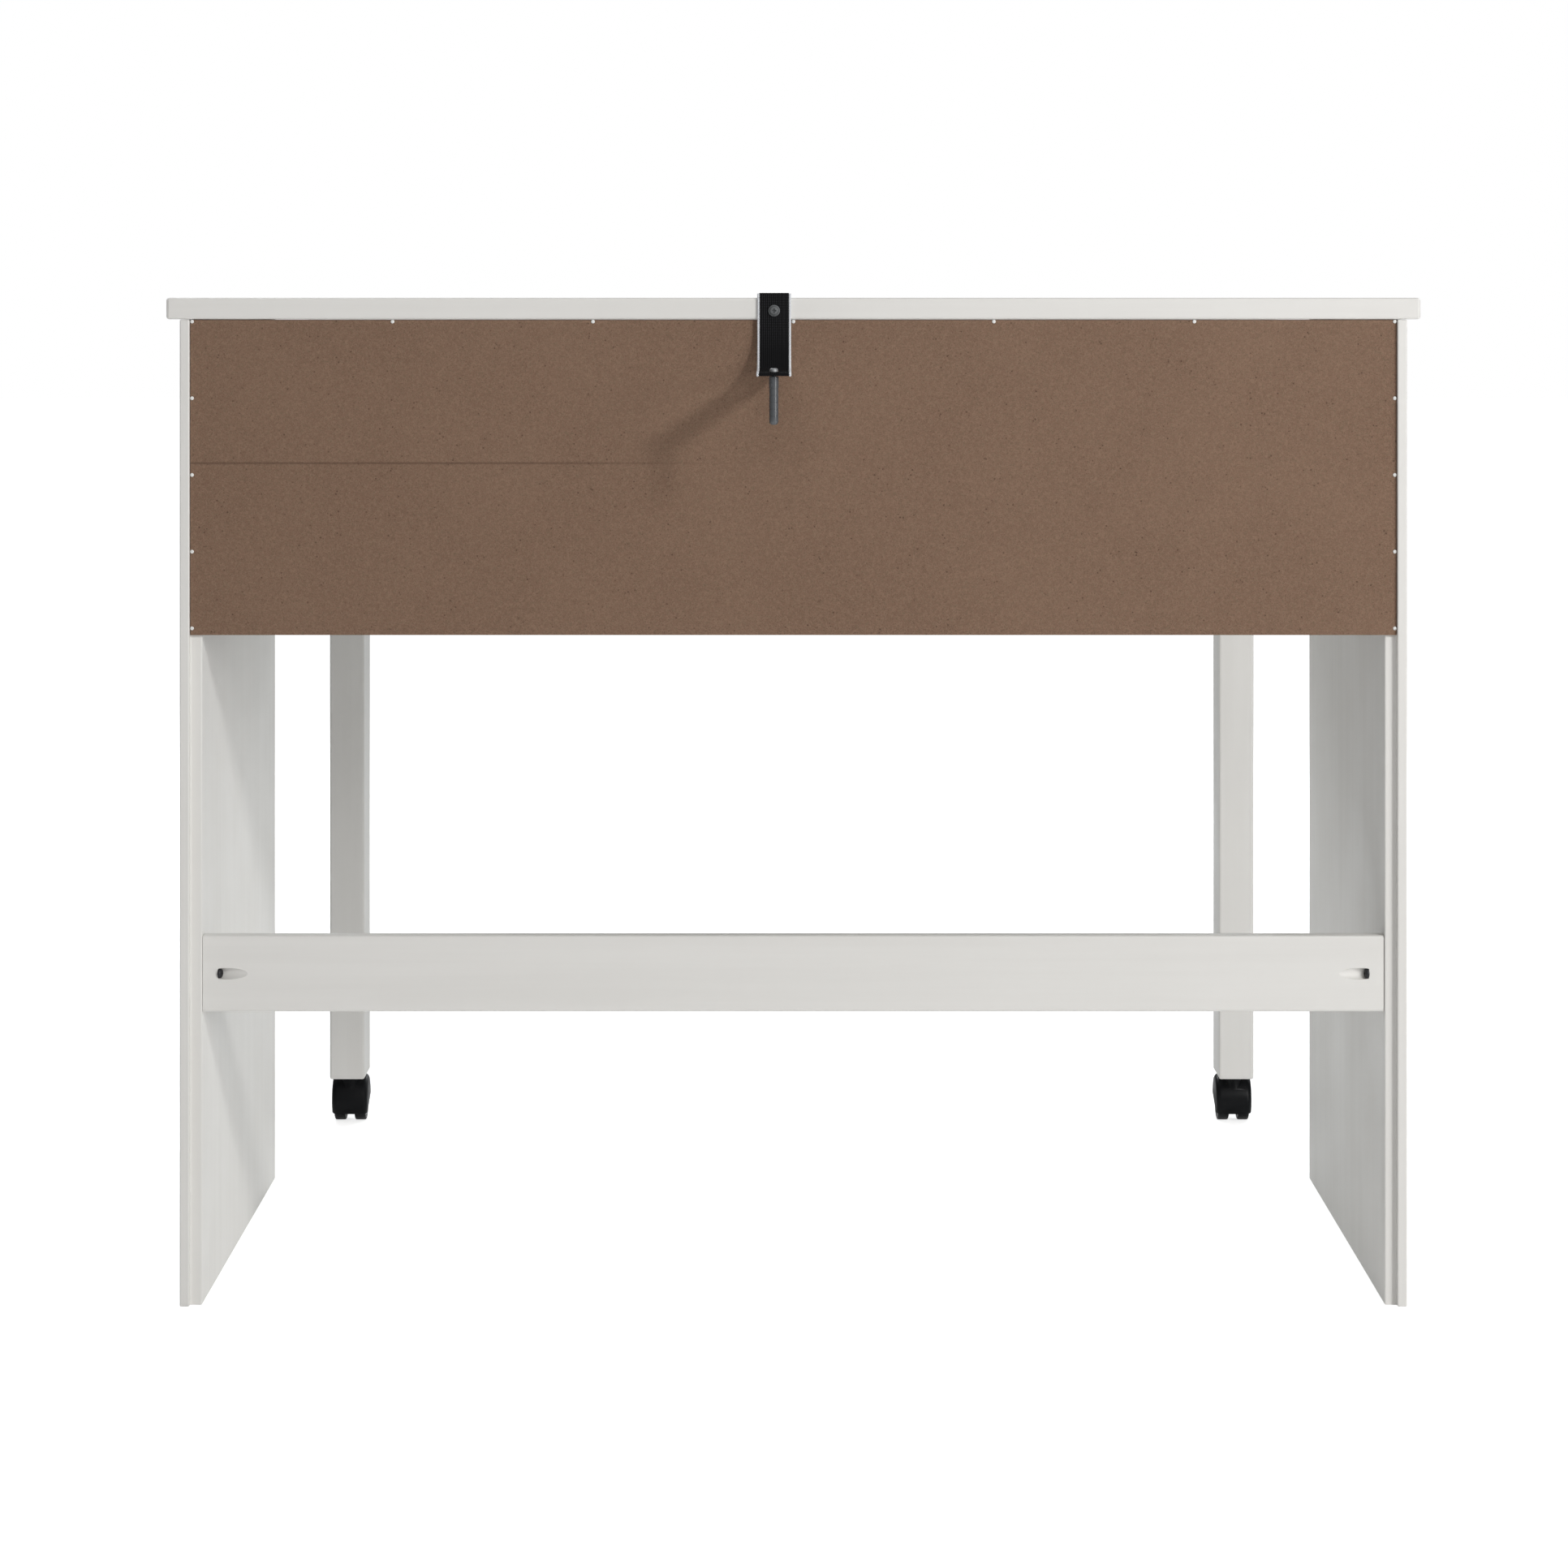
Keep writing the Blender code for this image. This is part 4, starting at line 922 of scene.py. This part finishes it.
plugLook = {
    "fromEnd": 0.009,
    "seatGap": 0.0003,
    "bandHalf": 0.0007,
    "steps": 72,
    "radius": 0.00335,
    "length": 0.035,
    "mouth": 0.0033,                   # radius at the band
    "collar": [(0.0035, -0.0006), (0.0035, -0.0014)],
    "bodyTop": -0.0016,
    "tip": [(1.0, 0.0026), (0.93, 0.0012), (0.74, 0.0004), (0.55, 0.0)],
    "grooves": (0.0087, 0.0137, 0.0187, 0.0237, 0.0287),
    "grooveWidth": 0.00035,
    "grooveFloor": 0.6,                # its share of the width
    "grooveDepth": 0.00028,
    "slit": 0.0004,
    "bore": (0.0019, 0.0258, 0.05),    # radius, how deep it ends, the cutter's length
    "fin": (0.0035, 0.0006, 0.0085),   # reach from the axis, thickness and height
}
tailPlace, tailWay = strapPoint(strap["length"] - plugLook["fromEnd"])
tailUp = upperSide(tailWay)
tailPlace.x = strap["middleX"]


def makePlug():
    radius, length = plugLook["radius"], plugLook["length"]
    half, floorRadius = plugLook["grooveWidth"] / 2, radius - plugLook["grooveDepth"]
    flat = half * plugLook["grooveFloor"]
    rings = [(plugLook["mouth"], -plugLook["seatGap"]), *plugLook["collar"],
             (radius, plugLook["bodyTop"])]
    for depth in plugLook["grooves"]:
        rings += [(radius, -depth + half), (floorRadius, -depth + flat),
                  (floorRadius, -depth - flat), (radius, -depth - half)]
    rings += [(radius * share, -length + rise) for share, rise in plugLook["tip"]]
    plug = turned("ribbedWallPlug", rings, plugLook["steps"])
    boreRadius, boreDepth, cutterLength = plugLook["bore"]
    carve(plug, rod("bore", boreRadius, cutterLength, (0, 0, cutterLength / 2 - boreDepth),
                    (0, 0, 1), 40))
    reach, thick, height = plugLook["fin"]
    for turn in (0, math.pi):
        fin = block("fin", (radius * 0.8, -thick / 2, -height), (reach, thick / 2, -0.0015))
        fin.location = Matrix.Rotation(turn, 3, "Z") @ fin.location
        fin.rotation_euler.z = turn
        carve(plug, fin, "UNION")
    slit = block("slit", (-0.01, -plugLook["slit"] / 2, -length + 0.004),
                 (0.01, plugLook["slit"] / 2, -plugLook["grooves"][0] - 0.0006))
    carve(plug, slit)
    return plug


plug = makePlug()
aim(plug, tailPlace - tailUp * (3 * plugLook["bandHalf"]), tailUp)
settle(plug, 30)
mount(plug, "strap_tail", plugNylon, "grey_nylon", "wall_plug")

panScrew = {
    "rings": [(0.0004, -0.0300), (0.0016, -0.0276), (0.0016, 0.0), (0.0031, 0.0),
              (0.0031, 0.0012), (0.0029, 0.0019), (0.0024, 0.0024), (0.0015, 0.0026),
              (0.0005, 0.00262)],
    "steps": 56,
    "recess": (0.0017, 0.0007, 0.0014),
}
screw = makeScrew("plugPanScrew", panScrew, tailPlace + tailUp
                  * (plugLook["bandHalf"] + plugLook["seatGap"]), tailUp)
mount(screw, "strap_tail", dullZinc, "zinc_steel", "plug_screw")
print("plug and screw set")


# Casters

caster = {
    "trail": 0.013,
    "axleZ": 0.020,
    "hoodRadius": 0.022,
    "hoodHalf": 0.0161,
    "shoulder": 0.0048,
    "wellCorner": 0.0026,
    "wellRadius": 0.0206,
    "well": (0.0036, 0.0152),      # from the middle of the caster
    "neckRadius": 0.0065,
    "neckTop": 0.0409,
    "neckEdge": 0.0006,
    "neckSteps": 72,
    "openingAngles": (math.radians(34), math.radians(10)),
    "edge": 0.00025,               # softens the hood's sharp edges
    "roundSteps": 6,
    "steps": 112,
    "wheelGap": 0.004,             # from the middle to a wheel's inner face
    "wheelRadius": 0.020,
    "wheelWidth": 0.0102,
    "corner": 0.0016,
    "cornerSteps": 8,
    "innerFace": [(0.0046, 0.0), (0.0050, 0.0007), (0.0158, 0.0010), (0.0166, 0.0)],
    "outerFace": [(0.0166, 0.0), (0.0162, -0.0004), (0.0060, -0.0001), (0.0056, 0.0005),
                  (0.0042, 0.0006)],
    "bore": 0.00258,
    "boreLength": 0.016,
}
stemLow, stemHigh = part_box("caster_stem_right")
swivelX, swivelY = (stemLow.x + stemHigh.x) / 2, (stemLow.y + stemHigh.y) / 2
axleY = swivelY + caster["trail"]


def makeHood():  # made about the middle of the caster
    middle = Vector((0, axleY, caster["axleZ"]))
    hood = rod("hood", caster["hoodRadius"], 2 * caster["hoodHalf"], middle, (1, 0, 0),
               caster["steps"])
    soften(hood, caster["shoulder"], caster["roundSteps"])
    neckRadius, neckTop, neckEdge = caster["neckRadius"], caster["neckTop"], caster["neckEdge"]
    neck = turned("neck", [(neckRadius, caster["axleZ"]), (neckRadius, neckTop - neckEdge),
                           (neckRadius - neckEdge, neckTop)], caster["neckSteps"])
    neck.location = (0, swivelY, 0)
    carve(hood, neck, "UNION")
    start, finish = caster["well"]
    for side in (-1, 1):
        well = rod("well", caster["wellRadius"], finish - start,
                   middle + Vector((side * (start + finish) / 2, 0, 0)), (1, 0, 0),
                   caster["steps"])
        soften(well, caster["wellCorner"], caster["roundSteps"])
        carve(hood, well)
    rearAngle, frontAngle = caster["openingAngles"]
    rearEdge = Vector((0, -math.cos(rearAngle), -math.sin(rearAngle)))
    frontEdge = Vector((0, math.cos(frontAngle), math.sin(frontAngle)))
    line = (frontEdge - rearEdge).normalized()
    size = 4 * caster["hoodRadius"]
    opening = block("opening", (-size / 2,) * 3, (size / 2,) * 3)
    opening.rotation_euler.x = math.atan2(line.z, line.y)
    opening.location = (middle + rearEdge * caster["hoodRadius"]
                        + Vector((0, line.z, -line.y)) * size / 2)
    carve(hood, opening)
    soften(hood, caster["edge"], 2, 50)
    return hood


def makeWheel():  # its inner face at height 0, its outer face upwards
    radius, width, corner = caster["wheelRadius"], caster["wheelWidth"], caster["corner"]
    steps = caster["cornerSteps"]
    rings = list(caster["innerFace"])
    rings += roundProfile((radius - corner, corner), corner, -90, 0, steps)
    rings += roundProfile((radius - corner, width - corner), corner, 0, 90, steps)
    rings += [(ringRadius, width + rise) for ringRadius, rise in caster["outerFace"]]
    wheel = turned("wheel", rings, caster["steps"])
    carve(wheel, rod("bore", caster["bore"], caster["boreLength"], (0, 0, 0), (0, 0, 1), 48))
    return wheel


firstHood = makeHood()
firstWheel = makeWheel()
for side, sign in sides:
    hood = copyPiece(firstHood, "casterHood" + side.title())
    hood.location.x += sign * swivelX
    settle(hood)
    mount(hood, "caster_" + side, blackNylon, "black_nylon", "caster_hood_" + side)
    for where, facing in (("outer", sign), ("inner", -sign)):
        wheel = copyPiece(firstWheel, "casterWheel" + side.title() + where.title())
        aim(wheel, (sign * swivelX + facing * caster["wheelGap"], axleY, caster["axleZ"]),
            (facing, 0, 0))
        settle(wheel)
        cadName = "wheel_" + side + "_" + where
        mount(wheel, cadName, wheelNylon, "black_nylon", cadName)
bpy.data.objects.remove(firstHood, do_unlink=True)
bpy.data.objects.remove(firstWheel, do_unlink=True)
print("casters set")


# Slides: rolled steel members with rounded bends

slideLook = {
    "sheet": 0.0012,
    "lip": 0.003,
    "bendWidth": 0.0016,
    "bendSteps": 4,
}


def rolledMember(name, cadName, openTowards, lip):  # openTowards is +1 or -1 along X
    low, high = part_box(cadName)
    sheet = slideLook["sheet"]
    web = (low.x if openTowards > 0 else high.x) + openTowards * sheet / 2
    mouth = (high.x if openTowards > 0 else low.x) - openTowards * sheet / 2
    bottom, top = low.z + sheet / 2, high.z - sheet / 2
    path = [(mouth, bottom), (web, bottom), (web, top), (mouth, top)]
    if lip:
        path = [(mouth, low.z + lip)] + path + [(mouth, high.z - lip)]
    clearSelection()
    bpy.ops.mesh.primitive_plane_add(size=1)
    member = bpy.context.object
    member.name = name
    editMode()
    bpy.ops.mesh.select_mode(type="VERT")
    bpy.ops.mesh.select_all(action="SELECT")
    bpy.ops.mesh.merge(type="CENTER")
    bpy.ops.transform.translate(value=(path[0][0], low.y, path[0][1]))
    for (x, z), (nextX, nextZ) in zip(path, path[1:]):
        bpy.ops.mesh.extrude_region_move(
            TRANSFORM_OT_translate={"value": (nextX - x, 0, nextZ - z)})
    bpy.ops.mesh.select_all(action="SELECT")
    bpy.ops.mesh.extrude_region_move(
        TRANSFORM_OT_translate={"value": (0, high.y - low.y, 0)})
    objectMode()
    soften(member, slideLook["bendWidth"], slideLook["bendSteps"], 30)
    thicken = member.modifiers.new("sheet", "SOLIDIFY")
    thicken.thickness = sheet
    thicken.offset = 0
    thicken.use_even_offset = True
    applyModifiers(member)
    return settle(member, 30)


for side, sign in sides:
    for part, body, opens, lip in (("outer", "table", -sign, slideLook["lip"]),
                                   ("middle", "slide_middle_" + side, -sign,
                                    slideLook["lip"]),
                                   ("inner", "extension", sign, 0)):
        cadName = "slide_" + part + "_" + side
        member = rolledMember("slide" + part.title() + side.title(), cadName, opens, lip)
        mount(member, body, zincSteel, "zinc_steel", cadName)
print("slides rolled")
